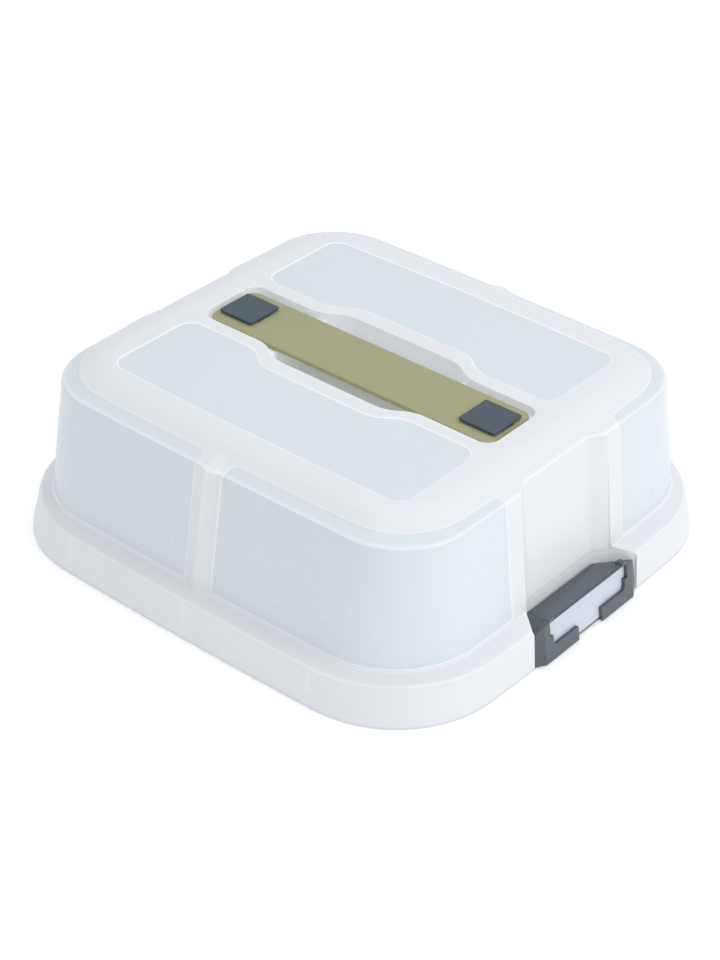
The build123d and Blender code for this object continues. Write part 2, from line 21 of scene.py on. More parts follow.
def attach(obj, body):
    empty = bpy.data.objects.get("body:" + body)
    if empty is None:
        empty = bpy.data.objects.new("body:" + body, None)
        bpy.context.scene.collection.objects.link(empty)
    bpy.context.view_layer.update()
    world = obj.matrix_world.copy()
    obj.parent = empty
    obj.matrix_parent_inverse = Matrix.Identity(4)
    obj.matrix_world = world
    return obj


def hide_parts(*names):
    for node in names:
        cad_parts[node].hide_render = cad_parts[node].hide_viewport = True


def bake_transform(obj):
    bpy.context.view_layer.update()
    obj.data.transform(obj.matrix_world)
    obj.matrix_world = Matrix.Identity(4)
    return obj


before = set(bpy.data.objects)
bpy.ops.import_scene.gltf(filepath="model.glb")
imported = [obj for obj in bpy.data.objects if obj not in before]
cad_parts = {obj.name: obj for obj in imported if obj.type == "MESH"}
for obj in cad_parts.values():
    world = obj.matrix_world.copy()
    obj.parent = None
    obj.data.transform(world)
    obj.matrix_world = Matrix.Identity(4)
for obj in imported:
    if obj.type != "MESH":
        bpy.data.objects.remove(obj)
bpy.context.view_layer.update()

# a millimetre in metres, then lengths in millimetres, then in metres what counts as one spot
MM = 0.001
NEAR, UNBOUNDED = 0.01, 1e3
SAME, SAME_IN_PLATE, SAME_IN_CAD = 1e-7, 1e-6, 2e-6
QUARTER = tuple(math.radians(angle) for angle in (0, 30, 60, 90))
log = logging.getLogger("cake_carrier")

Colour = tuple[float, float, float]
Spot = tuple[float, float]


class Side(Enum):
    """The two ends of the handle; the value is the sign of X there."""

    RIGHT = 1
    LEFT = -1

    @property
    def word(self) -> str:
        """The ending that this side's nodes and bodies carry."""
        return self.name.lower()


# ---- shader and node kit


class Wire:
    """A node's output, on which Python's operators place Math nodes."""

    def __init__(self, board: "Board", socket: bpy.types.NodeSocket) -> None:
        """Wraps one output of a board."""
        self.board, self.socket = board, socket

    def maths(self, operation: str, *values: "Wire | float") -> "Wire":
        """Places a Math node on the given values."""
        inputs = dict(enumerate(values))
        return self.board.node("ShaderNodeMath", {"operation": operation}, inputs)

    def __add__(self, other: "Wire | float") -> "Wire":
        """Sum."""
        return self.maths("ADD", self, other)

    __radd__ = __add__

    def __sub__(self, other: "Wire | float") -> "Wire":
        """Difference."""
        return self.maths("SUBTRACT", self, other)

    def __rsub__(self, other: float) -> "Wire":
        """Difference, number first."""
        return self.maths("SUBTRACT", other, self)

    def __mul__(self, other: "Wire | float") -> "Wire":
        """Product."""
        return self.maths("MULTIPLY", self, other)

    __rmul__ = __mul__

    def __abs__(self) -> "Wire":
        """This value without its sign."""
        return self.maths("ABSOLUTE", self)

    def ease(self, low: float, high: float) -> "Wire":
        """Goes softly from 0 to 1 as this value goes from low to high.

        Args:
            low: where it starts.
            high: where it ends; below low, the result falls instead.

        Returns:
            The eased value.
        """
        rising = low < high
        ends = (low, high) if rising else (high, low)
        return self.board.node(
            "ShaderNodeMapRange",
            {"interpolation_type": "SMOOTHSTEP"},
            {0: self, 1: ends[0], 2: ends[1], 3: float(not rising), 4: float(rising)},
        )


class Board:
    """A node tree that one method fills."""

    def __init__(self, tree: bpy.types.NodeTree) -> None:
        """Takes over a tree and empties it."""
        self.tree = tree
        tree.nodes.clear()

    def node(
        self,
        kind: str,
        settings: dict[str, Any] | None = None,
        inputs: dict[int | str, Any] | None = None,
        output: int | str | None = 0,
    ) -> Wire:
        """Places one node.

        Args:
            kind: the node's type.
            settings: its properties, set first.
            inputs: values or links by input name or number; a list joins several links.
            output: which output to hand back, or None for a node that has none.

        Returns:
            The chosen output.
        """
        node = self.tree.nodes.new(kind)
        for name, value in (settings or {}).items():
            setattr(node, name, value)
        for key, value in (inputs or {}).items():
            for part in value if isinstance(value, list) else [value]:
                if isinstance(part, Wire):
                    self.tree.links.new(part.socket, node.inputs[key])
                else:
                    node.inputs[key].default_value = part
        return Wire(self, None if output is None else node.outputs[output])

    def blend(self, share: Wire | float, low: Any, high: Any) -> Wire:
        """Mixes two colours.

        Args:
            share: how much of the second.
            low: the first colour, a link or three numbers.
            high: the second.

        Returns:
            The mixed colour.
        """
        ends = [end if isinstance(end, Wire) else (*end, 1.0) for end in (low, high)]
        inputs = {0: share, 6: ends[0], 7: ends[1]}
        return self.node("ShaderNodeMix", {"data_type": "RGBA"}, inputs, output=2)

    def drift(self, share: Wire | float, colour: Colour, drift: Spot) -> Wire:
        """A colour that drifts.

        Args:
            share: where it is between its two ends.
            colour: the colour.
            drift: by which share its lower end is darker, and its upper end lighter.

        Returns:
            The drifting colour.
        """
        down, up = drift
        low, high = (tuple(min(1.0, c * (1 + by)) for c in colour) for by in (-down, up))
        return self.blend(share, low, high)

    def spot(self) -> Wire:
        """The place on the piece, in metres."""
        return self.node("ShaderNodeTexCoord", output="Object")

    def mark(self, name: str) -> Wire:
        """A mesh attribute's value."""
        return self.node("ShaderNodeAttribute", {"attribute_name": name}, output="Fac")


# ---- finishes


@dataclass(frozen=True)
class Layer:
    """A layer of noise, with its weights in a finish's tint, roughness and relief."""

    waves: float
    detail: float = 2.0
    harshness: float = 0.5
    tint: float = 0.0
    rough: float = 0.0
    relief: float = 0.0
    along: float = 1.0

    def noise(self, board: Board) -> Wire:
        """Places the noise, drawn out along Y where `along` is below 1.

        Args:
            board: the material's tree.

        Returns:
            The noise, between 0 and 1.
        """
        place = board.spot()
        if self.along != 1.0:
            scale = (1.0, self.along, 1.0)
            place = board.node("ShaderNodeMapping", None, {"Vector": place, "Scale": scale})
        inputs = {"Scale": self.waves, "Detail": self.detail, "Roughness": self.harshness}
        return board.node("ShaderNodeTexNoise", None, {"Vector": place, **inputs})


@dataclass(frozen=True)
class Finish:
    """A surface finish whose tint, roughness and relief follow layers of noise."""

    name: str
    slot: str
    colour: Colour
    roughness: float
    layers: tuple[Layer, ...] = ()
    drift: Spot = (0.0, 0.0)
    depth: float = 0.0
    strength: float = 1.0
    metallic: float = 0.0
    gloss: float = 0.5
    ior: float = 1.5
    # emission strength: painted light on the hood, an even lift on the floor
    glow: float = 0.0

    def shade(self, board: Board) -> dict[str, Any]:
        """Works out the shader's inputs.

        Args:
            board: the material's tree.

        Returns:
            Values and links by the shader's input names.
        """
        noises = [(layer, layer.noise(board)) for layer in self.layers]
        tint = sum(((noise - 0.5) * layer.tint for layer, noise in noises if layer.tint), 0.5)
        rough = sum(
            ((noise - 0.5) * layer.rough for layer, noise in noises if layer.rough), self.roughness
        )
        found = {
            "Base Color": self.tinted(board, tint),
            "Roughness": rough,
            "Metallic": self.metallic,
            "IOR": self.ior,
            "Specular IOR Level": self.gloss,
            "Emission Strength": self.glow,
        }
        if self.depth:
            relief = sum((noise * layer.relief for layer, noise in noises if layer.relief), 0.0)
            inputs = {"Strength": self.strength, "Distance": self.depth}
            inputs["Height"] = self.raised(board, relief)
            found["Normal"] = board.node("ShaderNodeBump", None, inputs)
        return found

    def tinted(self, board: Board, tint: Wire) -> Wire:
        """The colour, at a place between its darkest and its lightest."""
        return board.drift(tint, self.colour, self.drift)

    def raised(self, board: Board, relief: Wire) -> Wire:
        """The relief that the layers add up to."""
        return relief

    def material(self) -> bpy.types.Material:
        """Makes the material, or finds the one made before.

        Returns:
            The material.
        """
        found = bpy.data.materials.get(self.name)
        if found is not None:
            return found
        made = bpy.data.materials.new(self.name)
        made.use_nodes = True
        board = Board(made.node_tree)
        surface = board.node("ShaderNodeBsdfPrincipled", None, self.shade(board))
        board.node("ShaderNodeOutputMaterial", None, {"Surface": surface}, output=None)
        return made


@dataclass(frozen=True)
class MouldedPlastic(Finish):
    """Spark-eroded moulded plastic: a fine even grain with slight wear and tint drift."""

    layers: tuple[Layer, ...] = (
        Layer(26.0, 4.0, tint=0.9, rough=0.10),
        Layer(420.0, 3.0, tint=0.5, rough=0.06),
        Layer(1900.0, 2.0, 0.65, relief=1.0),
    )
    drift: Spot = (0.06, 0.06)
    depth: float = 0.00004
    strength: float = 0.8


@dataclass(frozen=True)
class FrostedPlastic(Finish):
    """Milky moulded plastic: frosted borders, clearer panes, painted highlight lines and painted
    light.
    """

    pane: Colour = (0.79, 0.845, 0.890)
    pane_drift: Spot = (0.015, 0.015)
    pane_polish: float = 0.16
    # colour of the painted highlight lines and of the painted streaks
    line: Colour = (0.96, 0.97, 0.98)
    line_share: float = 0.75
    frost_cover: float = 0.93
    pane_cover: float = 0.86
    line_cover: float = 0.05
    # painted pale streaks where the plates behind the skirt show through
    streak_places: tuple[float, ...] = (-0.101, 0.0, 0.101)
    streak_width: Spot = (0.0032, 0.0008)
    streak_top: Spot = (0.0275, 0.0255)
    streak_foot: Spot = (0.008, 0.012)
    streak_wall: Spot = (0.165, 0.168)
    streak_share: float = 0.25

    def shade(self, board: Board) -> dict[str, Any]:
        """Adds what follows the mesh's marks, among them painted light as emission.

        Args:
            board: the material's tree.

        Returns:
            Values and links by the shader's input names.
        """
        found = super().shade(board)
        pane, line = board.mark("pane"), board.mark("edge")
        thinner = self.frost_cover - self.pane_cover
        found["Roughness"] -= pane * self.pane_polish
        # the painted highlight lines are a little more opaque
        found["Alpha"] = self.frost_cover - pane * thinner + line * self.line_cover
        # painted light: emission where the mesh is marked, lifting shaded hollows
        found["Emission Color"] = board.blend(board.mark("glow"), (0.0, 0.0, 0.0), self.colour)
        return found

    def raised(self, board: Board, relief: Wire) -> Wire:
        """The relief, which the panes don't have."""
        return relief * (1 - board.mark("pane"))

    def tinted(self, board: Board, tint: Wire) -> Wire:
        """Frost, panes, painted highlight lines and pale streaks painted where plates show through.

        Args:
            board: the material's tree.
            tint: the place between the darkest and the lightest.

        Returns:
            The colour.
        """
        spot = {0: board.spot()}
        x, y, z = (board.node("ShaderNodeSeparateXYZ", None, spot, output=k) for k in range(3))
        # painted: pale streaks where the gusset plates behind the skirt show through
        streak = sum(abs(x - place).ease(*self.streak_width) for place in self.streak_places)
        band = z.ease(*self.streak_top) * z.ease(*self.streak_foot)
        behind = streak * band * abs(y).ease(*self.streak_wall)
        clear = board.drift(tint, self.pane, self.pane_drift)
        base = board.blend(board.mark("pane"), super().tinted(board, tint), clear)
        # painted highlight lines along steps, bends and rims
        base = board.blend(board.mark("edge") * self.line_share, base, self.line)
        return board.blend(behind * self.streak_share, base, self.line)


class Finishes(Enum):
    """Every finish on the object."""

    HOOD = FrostedPlastic(
        "frosted_hood_plastic", "hood_plastic", (0.825, 0.842, 0.872), 0.42,
        (
            Layer(14.0, 3.0, tint=0.8),
            Layer(240.0, tint=0.3, rough=0.08),
            Layer(2400.0, 2.0, 0.6, relief=1.0),
        ),
        # the last number is the emission strength of the painted light in shaded hollows
        (0.025, 0.025), 0.00003, 0.6, gloss=0.35, ior=1.49, glow=0.20,
    )
    TRAY = MouldedPlastic(
        "tray_plastic_white", "tray_plastic", (0.74, 0.77, 0.79), 0.42, drift=(0.03, 0.03)
    )
    LATCH = MouldedPlastic(
        "latch_plastic_slate", "latch_plastic", (0.060, 0.078, 0.092), 0.34, gloss=0.8
    )
    CAP = MouldedPlastic(
        "cap_plastic_slate", "cap_plastic", (0.062, 0.086, 0.110), 0.42, gloss=0.35
    )
    STRAP = MouldedPlastic(
        "strap_olive", "strap_plastic", (0.355, 0.350, 0.190), 0.62,
        (*MouldedPlastic.layers[:2], Layer(1500.0, 2.0, 0.65, relief=1.0)),
        drift=(0.04, 0.04), depth=0.00006,
    )
    # painted shade: the white card is given a darker, bluer colour for the shade it sits in
    CARD = Finish(
        "card_white", "card_board", (0.64, 0.67, 0.75), 0.75,
        (
            Layer(900.0, 4.0, 0.7, tint=0.7, rough=0.1, relief=0.3, along=0.35),
            Layer(55.0, tint=0.4, relief=1.0),
        ),
        (0.03, 0.0), 0.0002, 0.5,
    )
    PIN = Finish(
        "pin_drawn_steel", "pin_steel", (0.62, 0.63, 0.65), 0.3,
        (Layer(4000.0, 3.0, 0.6, tint=1.0, rough=0.2, relief=1.0, along=0.02),),
        (0.15, 0.0), 0.00002, 0.4, metallic=1.0,
    )


# ---- mesh kit


def placed(name: str, data: bpy.types.ID) -> bpy.types.Object:
    """Makes an object and puts it in the scene.

    Args:
        name: its name.
        data: its mesh, light or camera.

    Returns:
        The object, at the origin.
    """
    made = bpy.data.objects.new(name, data)
    bpy.context.scene.collection.objects.link(made)
    return made


@contextmanager
def reworked(mesh: bpy.types.Mesh) -> Iterator[bmesh.types.BMesh]:
    """Opens a mesh for editing and writes it back.

    Args:
        mesh: the mesh.

    Yields:
        Its editable form.
    """
    shell = bmesh.new()
    shell.from_mesh(mesh)
    yield shell
    shell.to_mesh(mesh)
    shell.free()


def write_mark(mesh: bpy.types.Mesh, name: str, values: Sequence[float]) -> None:
    """Gives every point of a mesh a value that materials and trees read."""
    layer = mesh.attributes.new(name, "FLOAT", "POINT")
    layer.data.foreach_set("value", values)


class Draft:
    """Points in millimetres and faces on their way to becoming a mesh."""

    def __init__(self) -> None:
        """Starts empty."""
        self.points: list[Sequence[float]] = []
        self.faces: list[tuple[int, ...]] = []
        self.flat: set[int] = set()
        self.marks: dict[str, dict[int, float]] = {}

    def add(self, points: Iterable[Sequence[float]], **marks: float | list[float]) -> list[int]:
        """Adds points.

        Args:
            points: their places.
            marks: attribute values, one for all of them or one for each.

        Returns:
            Their numbers.
        """
        first = len(self.points)
        self.points.extend(points)
        places = list(range(first, len(self.points)))
        for name, value in marks.items():
            values = value if isinstance(value, list) else [value] * len(places)
            self.marks.setdefault(name, {}).update(zip(places, values))
        return places

    def face(self, *corners: int, flat: bool = False) -> None:
        """Adds a face, unless it has shrunk to a line.

        Args:
            corners: its points' numbers.
            flat: whether it shades flat.
        """
        kept = tuple(dict.fromkeys(corners))
        if len(kept) > 2:
            if flat:
                self.flat.add(len(self.faces))
            self.faces.append(kept)

    def bands(self, rows: Sequence[Sequence[int]]) -> None:
        """Adds quads between each two of a stack of loops.

        Args:
            rows: the loops' points, all as many.
        """
        for low, high in zip(rows, rows[1:]):
            for here, there in zip(range(len(low)), [*range(1, len(low)), 0]):
                self.face(low[here], low[there], high[there], high[here])

    def fill(self, *loops: Sequence[int]) -> None:
        """Fills a level outline, less the loops inside it, with upward faces.

        Args:
            loops: the outline first, then the holes.
        """
        names = [name for loop in loops for name in loop]
        sheet = bmesh.new()
        for loop in loops:
            row = [sheet.verts.new((*self.points[name][:2], 0.0)) for name in loop]
            for here, there in zip(row, row[1:] + row[:1]):
                sheet.edges.new((here, there))
        sheet.verts.index_update()
        found = bmesh.ops.triangle_fill(
            sheet, use_beauty=True, use_dissolve=False, edges=sheet.edges, normal=(0.0, 0.0, 1.0)
        )
        for part in found["geom"]:
            if not isinstance(part, bmesh.types.BMFace):
                continue
            a, b, c = (names[vert.index] for vert in part.verts)
            (ax, ay), (bx, by), (cx, cy) = (self.points[k][:2] for k in (a, b, c))
            if (bx - ax) * (cy - ay) < (by - ay) * (cx - ax):
                b, c = c, b
            self.face(a, b, c, flat=True)
        sheet.free()

    def build(self, name: str, outward: bool = True) -> bpy.types.Object:
        """Makes the object.

        Args:
            name: the piece's name.
            outward: whether a closed shell's normals are worked out afresh.

        Returns:
            The object, at the origin, its place in its mesh.
        """
        mesh = bpy.data.meshes.new(name)
        mesh.from_pydata([[c * MM for c in point] for point in self.points], [], self.faces)
        shading = [place not in self.flat for place in range(len(self.faces))]
        mesh.polygons.foreach_set("use_smooth", shading)
        for mark, values in self.marks.items():
            write_mark(mesh, mark, [values.get(k, 0.0) for k in range(len(self.points))])
        if outward:
            with reworked(mesh) as shell:
                bmesh.ops.remove_doubles(shell, verts=shell.verts, dist=SAME)
                bmesh.ops.recalc_face_normals(shell, faces=shell.faces)
        mesh.update()
        return placed(name, mesh)


def settle(
    piece: bpy.types.Object, finish: Finishes, body: str | None, nodes: Sequence[str] = ()
) -> bpy.types.Object:
    """Gives a piece its material and body, hides the nodes that it stands for, and logs its slot.

    Args:
        piece: the object.
        finish: its finish.
        body: the body it rides on, or None for a piece that rides on no body.
        nodes: the CAD nodes that it replaces.

    Returns:
        The piece.
    """
    piece.data.materials.clear()
    piece.data.materials.append(finish.value.material())
    if body is not None:
        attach(piece, body)
    if nodes:
        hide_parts(*nodes)
    log.info("%s: %d faces, %s", piece.name, len(piece.data.polygons), finish.value.slot)
    return piece


def dress(node: str, finish: Finishes) -> None:
    """Gives a CAD node that stays its material.

    Args:
        node: the node's name.
        finish: its finish.
    """
    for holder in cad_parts[node].material_slots:
        holder.material = finish.value.material()
    log.info("%s keeps its solid, %s", node, finish.value.slot)


def copied(node: str, name: str, easing: float) -> bpy.types.Object:
    """A clean copy of a CAD node's mesh with eased edges.

    Args:
        node: the node.
        name: the new piece's name.
        easing: the width of its eased edges in millimetres.

    Returns:
        The copy.
    """
    same_plane, sharp, eased = (math.radians(angle) for angle in (0.6, 28.0, 30.0))
    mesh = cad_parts[node].data.copy()
    mesh.name = name
    with reworked(mesh) as shell:
        bmesh.ops.remove_doubles(shell, verts=shell.verts, dist=SAME_IN_CAD)
        bmesh.ops.dissolve_limit(
            shell, angle_limit=same_plane, verts=shell.verts, edges=shell.edges
        )
        for face in shell.faces:
            face.smooth = True
    mesh.set_sharp_from_angle(angle=sharp)
    made = placed(name, mesh)
    bevel = made.modifiers.new("eased_edges", "BEVEL")
    bevel.width = easing * MM
    bevel.segments = 2
    bevel.limit_method = "ANGLE"
    bevel.angle_limit = eased
    bevel.harden_normals = True
    bevel.use_clamp_overlap = True
    return made


def even(count: int) -> tuple[float, ...]:
    """Shares that cut a run into even parts."""
    return tuple((k + 1) / (count + 1) for k in range(count))


def curve(ends: Sequence[np.ndarray], steps: int) -> list[np.ndarray]:
    """Points of a cubic curve, both ends among them.

    Args:
        ends: its start, its two handles and its end.
        steps: how many pieces it has.

    Returns:
        The points in order.
    """
    found = []
    for step in range(steps + 1):
        t = step / steps
        weights = ((1 - t) ** 3, 3 * t * (1 - t) ** 2, 3 * t * t * (1 - t), t**3)
        found.append(sum(weight * end for weight, end in zip(weights, ends)))
    return found


def soften(corners: Sequence[tuple[float, float, float]], steps: int = 8) -> list[Spot]:
    """A closed outline whose corners are rounded.

    Args:
        corners: x, y and radius of each; a radius of zero stays sharp.
        steps: how many pieces each arc has.

    Returns:
        The outline's points.
    """
    outline: list[Spot] = []
    for place, (x, y, radius) in enumerate(corners):
        if radius == 0.0:
            outline.append((x, y))
            continue
        here = np.array((x, y))
        before = np.array(corners[place - 1][:2]) - here
        after = np.array(corners[(place + 1) % len(corners)][:2]) - here
        before /= np.linalg.norm(before)
        after /= np.linalg.norm(after)
        turn = math.pi - math.acos(float(np.clip(before @ after, -1, 1)))
        back = radius * math.tan(turn / 2)
        pull = back - radius * math.tan(turn / 4) * 4 / 3
        reaches = (before * back, before * pull, after * pull, after * back)
        outline += [tuple(spot) for spot in curve([here + reach for reach in reaches], steps)]
    return outline


def grown(outline: Sequence[Spot], by: float) -> list[Spot]:
    """An anticlockwise outline moved outwards.

    Args:
        outline: its points.
        by: how far; below zero, inwards.

    Returns:
        The moved points.
    """
    spots = np.array(outline)
    ahead = np.roll(spots, -1, axis=0) - spots
    ahead /= np.linalg.norm(ahead, axis=1, keepdims=True)
    way = ahead + np.roll(ahead, 1, axis=0)
    way /= np.linalg.norm(way, axis=1, keepdims=True)
    reach = by / np.maximum(0.5, (way * ahead).sum(axis=1))
    return [tuple(p) for p in spots + np.stack((way[:, 1], -way[:, 0]), axis=1) * reach[:, None]]


def slab(draft: Draft, x: Spot, y: Spot, z: Spot, corner: float, easing: float) -> None:
    """Adds a rounded plate or block with eased edges.

    Args:
        draft: what it is added to.
        x: its two ends along X.
        y: its two ends along Y.
        z: its bottom and top.
        corner: its upright corners' radius.
        easing: the radius of its top and bottom edges.
    """
    spots = ((x[1], y[0]), (x[1], y[1]), (x[0], y[1]), (x[0], y[0]))
    outline = soften([(*spot, corner) for spot in spots], steps=5)
    levels = [
        (easing * (math.sin(a) - 1), z[0] + easing * (1 - math.cos(a))) for a in QUARTER
    ] + [(easing * (math.cos(a) - 1), z[1] - easing * (1 - math.sin(a))) for a in QUARTER]
    rows = [
        draft.add((px, py, height) for px, py in grown(outline, inset)) for inset, height in levels
    ]
    draft.bands(rows)
    draft.face(*rows[0][::-1], flat=True)
    draft.face(*rows[-1], flat=True)


# ---- hood


@dataclass(frozen=True)
class Level:
    """A bend in the hood's section: a bowed ring at one height, and how it goes on from there."""

    z: float
    in_x: float
    in_y: float
    corner: float
    bow: float
    easing: float = 0.0
    turns: int = 6
    rows: tuple[float, ...] = ()

    @property
    def ring(self) -> np.ndarray:
        """Its numbers in a row, so that levels can be mixed."""
        return np.array((self.z, self.in_x, self.in_y, self.corner, self.bow))


@dataclass
class Hood:
    """The translucent hood: one thin sheet with its windows, recesses, ribs and channel."""

    half_x: float = 184.5
    half_y: float = 174.5
    wall: float = 2.0
    lip_z: float = 0.8
    seat_z: float = 8.0
    ledge_z: float = 27.4
    foot_z: float = 32.1
    crease_z: float = 113.7
    brow_z: float = 117.4
    shoulder_z: float = 121.6
    top_z: float = 123.4
    wall_rows: tuple[float, ...] = (
        33.05, 33.2, 33.4, 33.65, 33.9, 34.2, 34.6, 35.1, 35.8, 37.0, 39.3, 42.0,
        47.0, 54.0, 62.0, 70.0, 78.0, 86.0, 94.0, 101.0, 106.5, 109.5,
    )
    # columns of points: along the +X side from its middle, round the corner, along the +Y side
    side_columns: tuple[float, ...] = (
        0.0, 6.0, 12.0, 18.0, 24.0, 28.5, 31.0, 31.8, 32.6, 33.5, 34.4, 35.2, 36.2, 38.0, 40.0,
        41.6, 42.8, 43.6, 44.1, 44.5, 44.7, 45.0, 45.5, 46.2, 47.2, 48.4, 49.6, 50.8, 52.0, 53.2,
        54.2, 54.6, 54.7, 55.8, 57.0, 57.5, 57.9, 58.2, 58.5, 58.9, 59.4, 60.2, 61.2, 62.4, 63.6,
        65.0, 66.6, 70.0,
    )
    end_columns: tuple[float, ...] = (
        90.0, 70.0, 50.0, 35.0, 26.0, 21.0, 19.0, 17.4, 16.0, 14.8, 13.8, 13.0, 12.4, 12.0, 11.7,
        11.4, 11.1, 10.8, 10.2, 9.5, 9.0, 8.0, 6.8, 5.4, 4.0, 2.6, 1.3, 0.0,
    )
    arc_steps: int = 18
    # window steps
    pane_step: float = 0.42
    step_width: float = 0.7
    # width of the highlight line painted along each window step
    step_line: float = 0.75
    side_gap_x: float = 11.0
    side_gap_y: float = 58.0
    side_foot_z: float = 33.4
    side_foot_corner: float = 2.0
    side_corner: float = 5.0
    pane_half_x: float = 120.0
    pane_outer_y: float = 112.0
    pane_inner_y: float = 36.5
    pane_bay_y: float = 49.0
    pane_bow: float = 2.0
    pane_bow_x: float = 100.0
    pane_corner: float = 11.0
    pane_curve: Spot = (70.0, 38.0)
    # painted highlight lines along bends: height, half width and strength of each
    bend_lines: tuple[tuple[float, float, float], ...] = (
        (27.7, 0.9, 0.70), (32.2, 0.7, 0.50), (113.9, 1.1, 0.90),
    )
    # painted highlight lines along the recess mouth and on the rib's crest
    mouth_line: float = 0.45
    mouth_line_half: float = 0.7
    mouth_line_shift: float = 0.1
    crest_line: float = 0.40
    crest_line_half: float = 2.4
    crest_line_from: float = 45.0
    crest_line_rise: float = 40.0
    # ribs and recesses
    rib_half: float = 7.6
    rib_height: float = 2.4
    rib_powers: Spot = (1.6, 1.2)
    rib_below: float = 2.0
    rib_foot: float = 2.5
    rib_fade: float = 4.4
    recess_floor: float = 151.4
    recess_lean: float = 0.10475
    recess_half: float = 33.5
    recess_mouth: float = 44.5
    recess_run: float = 7.0
    recess_ease: float = 2.04
    mouth_slope: float = 9.0
    mouth_round: float = 1.6
    mouth_round_from: float = 38.0
    notch_x: float = 160.0
    notch_flank: Spot = (180.5, 54.6)
    foot_margin: float = 0.6
    side_x: float = 100.0
    # strap channel
    channel_half_x: float = 120.0
    channel_half_y: float = 26.0
    channel_corner: float = 9.0
    channel_z: float = 117.3
    channel_rim: float = 1.2
    channel_ease: float = 1.5
    channel_draft: float = 0.4
    # strength of the highlight line painted along the channel's rim
    rim_line: float = 0.5
    bay_half_y: float = 36.8
    bay_z: float = 103.7
    bay_curve: Spot = (70.0, 38.0)
    bay_foot_rise: Spot = (0.3, 1.2)
    bay_brow_drop: Spot = (0.9, 0.2)
    bay_columns: tuple[float, ...] = (30.0, 20.0, 10.0, 0.0)
    channel_columns: tuple[float, ...] = (97.0, 80.0, 73.0)
    bay_ramp: tuple[float, ...] = (56.2, 57.0, 57.5, 57.8, 58.3, 59.2)
    stem_hole_x: Spot = (87.05, 107.55)
    stem_hole_y: float = 5.95
    # painted light: emission in the finger bay, the channel walls and the recess foot, lifting
    # their shade in place of the light that the plastic passes on
    bay_glow: float = 0.85
    bay_glow_wall_x: float = 59.5
    bay_glow_floor_x: float = 57.9
    wall_glow: float = 0.75
    rim_glow: tuple[float, ...] = (0.0, 0.1, 0.2, 0.3, 0.5)
    low_glow: float = 0.75
    low_glow_depth: float = 4.0
    low_glow_top: float = 50.0
    low_glow_run: float = 20.0

    def levels(self) -> list[Level]:
        """The bends of the section, from the skirt's foot to the flat top.

        Returns:
            The levels.
        """
        skirt = (0.09, (self.seat_z - self.lip_z) / (self.ledge_z - self.lip_z), 0.5, 0.75)
        wall = tuple((z - self.foot_z) / (self.crease_z - self.foot_z) for z in self.wall_rows)
        return [
            Level(self.lip_z, 0.0, 0.0, 80.0, 4.5, rows=skirt),
            Level(self.ledge_z, 2.14, 2.14, 88.0, 4.5, 2.4, 6, even(12)),
            Level(self.foot_z, 16.07, 14.44, 64.3, 2.5, 0.9, 5, wall),
            Level(self.crease_z, 26.0, 27.4, 49.0, 2.2, 2.2, 6, even(5)),
            Level(self.brow_z, 33.6, 38.0, 48.0, 2.2, 2.6, 6, even(2)),
            Level(self.shoulder_z, 41.6, 46.0, 44.0, 2.0, 3.6, 4, even(1)),
            Level(self.top_z, 50.6, 55.0, 38.0, 2.0, 2.4, 4),
            Level(self.top_z, 53.2, 56.8, 32.5, 2.0),
        ]

    def rows(self) -> list[np.ndarray]:
        """Every ring of the wall, bends eased.

        Returns:
            Rings as rows of numbers, lowest first.
        """
        levels = self.levels()
        rings = [level.ring for level in levels]
        found = [rings[0]]
        for place, (here, there) in enumerate(zip(levels, levels[1:])):
            bend = rings[place + 1]
            way = bend - rings[place]
            length = math.hypot(way[0], way[1])
            start, stop = here.easing / length, 1.0 - there.easing / length
            found += [rings[place] + way * share for share in here.rows if start < share < stop]
            if there.easing:
                onward = rings[place + 2] - bend
                enter = rings[place] + way * stop
                leave = bend + onward * there.easing / math.hypot(onward[0], onward[1])
                for step in range(there.turns + 1):
                    t = step / there.turns
                    found.append(enter * (1 - t) ** 2 + bend * 2 * t * (1 - t) + leave * t * t)
        return [*found, rings[-1]]

    def quarter_row(self, ring: np.ndarray) -> np.ndarray:
        """One ring's points, from the middle of the +X side to the middle of the +Y side.

        Args:
            ring: height, insets, corner radius and bow.

        Returns:
            Points in a row.
        """
        z, in_x, in_y, corner, bow = ring
        half_x, half_y = self.half_x - in_x, self.half_y - in_y
        a, b = half_x - bow, half_y - bow
        turn = math.pi / 2 - math.atan(2 * bow / b) - math.atan(2 * bow / a)
        back = corner * math.tan(turn / 2)
        start_y, end_x = b - back, a - back

        def on_side(y: float) -> np.ndarray:
            """A point on the +X side."""
            return np.array((half_x - bow * (y / b) ** 2, y))

        def on_end(x: float) -> np.ndarray:
            """A point on the +Y side."""
            return np.array((x, half_y - bow * (x / a) ** 2))

        last, nearest = self.side_columns[-1], self.end_columns[0]
        first, end = on_side(start_y), on_end(end_x)
        leave = np.array((-2 * bow * start_y / b**2, 1.0))
        enter = np.array((1.0, -2 * bow * end_x / a**2))
        pull = 4 / 3 * math.tan(turn / 4) * corner
        near = first + leave / np.linalg.norm(leave) * pull
        far = end + enter / np.linalg.norm(enter) * pull
        spots = [on_side(y) for y in self.side_columns]
        spots += [on_side(last + (start_y - last) * share) for share in even(3)]
        spots += curve((first, near, far, end), self.arc_steps)
        spots += [on_end(end_x + (nearest - end_x) * share) for share in even(1)]
        spots += [on_end(x) for x in self.end_columns]
        return np.array([(x, y, z) for x, y in spots])

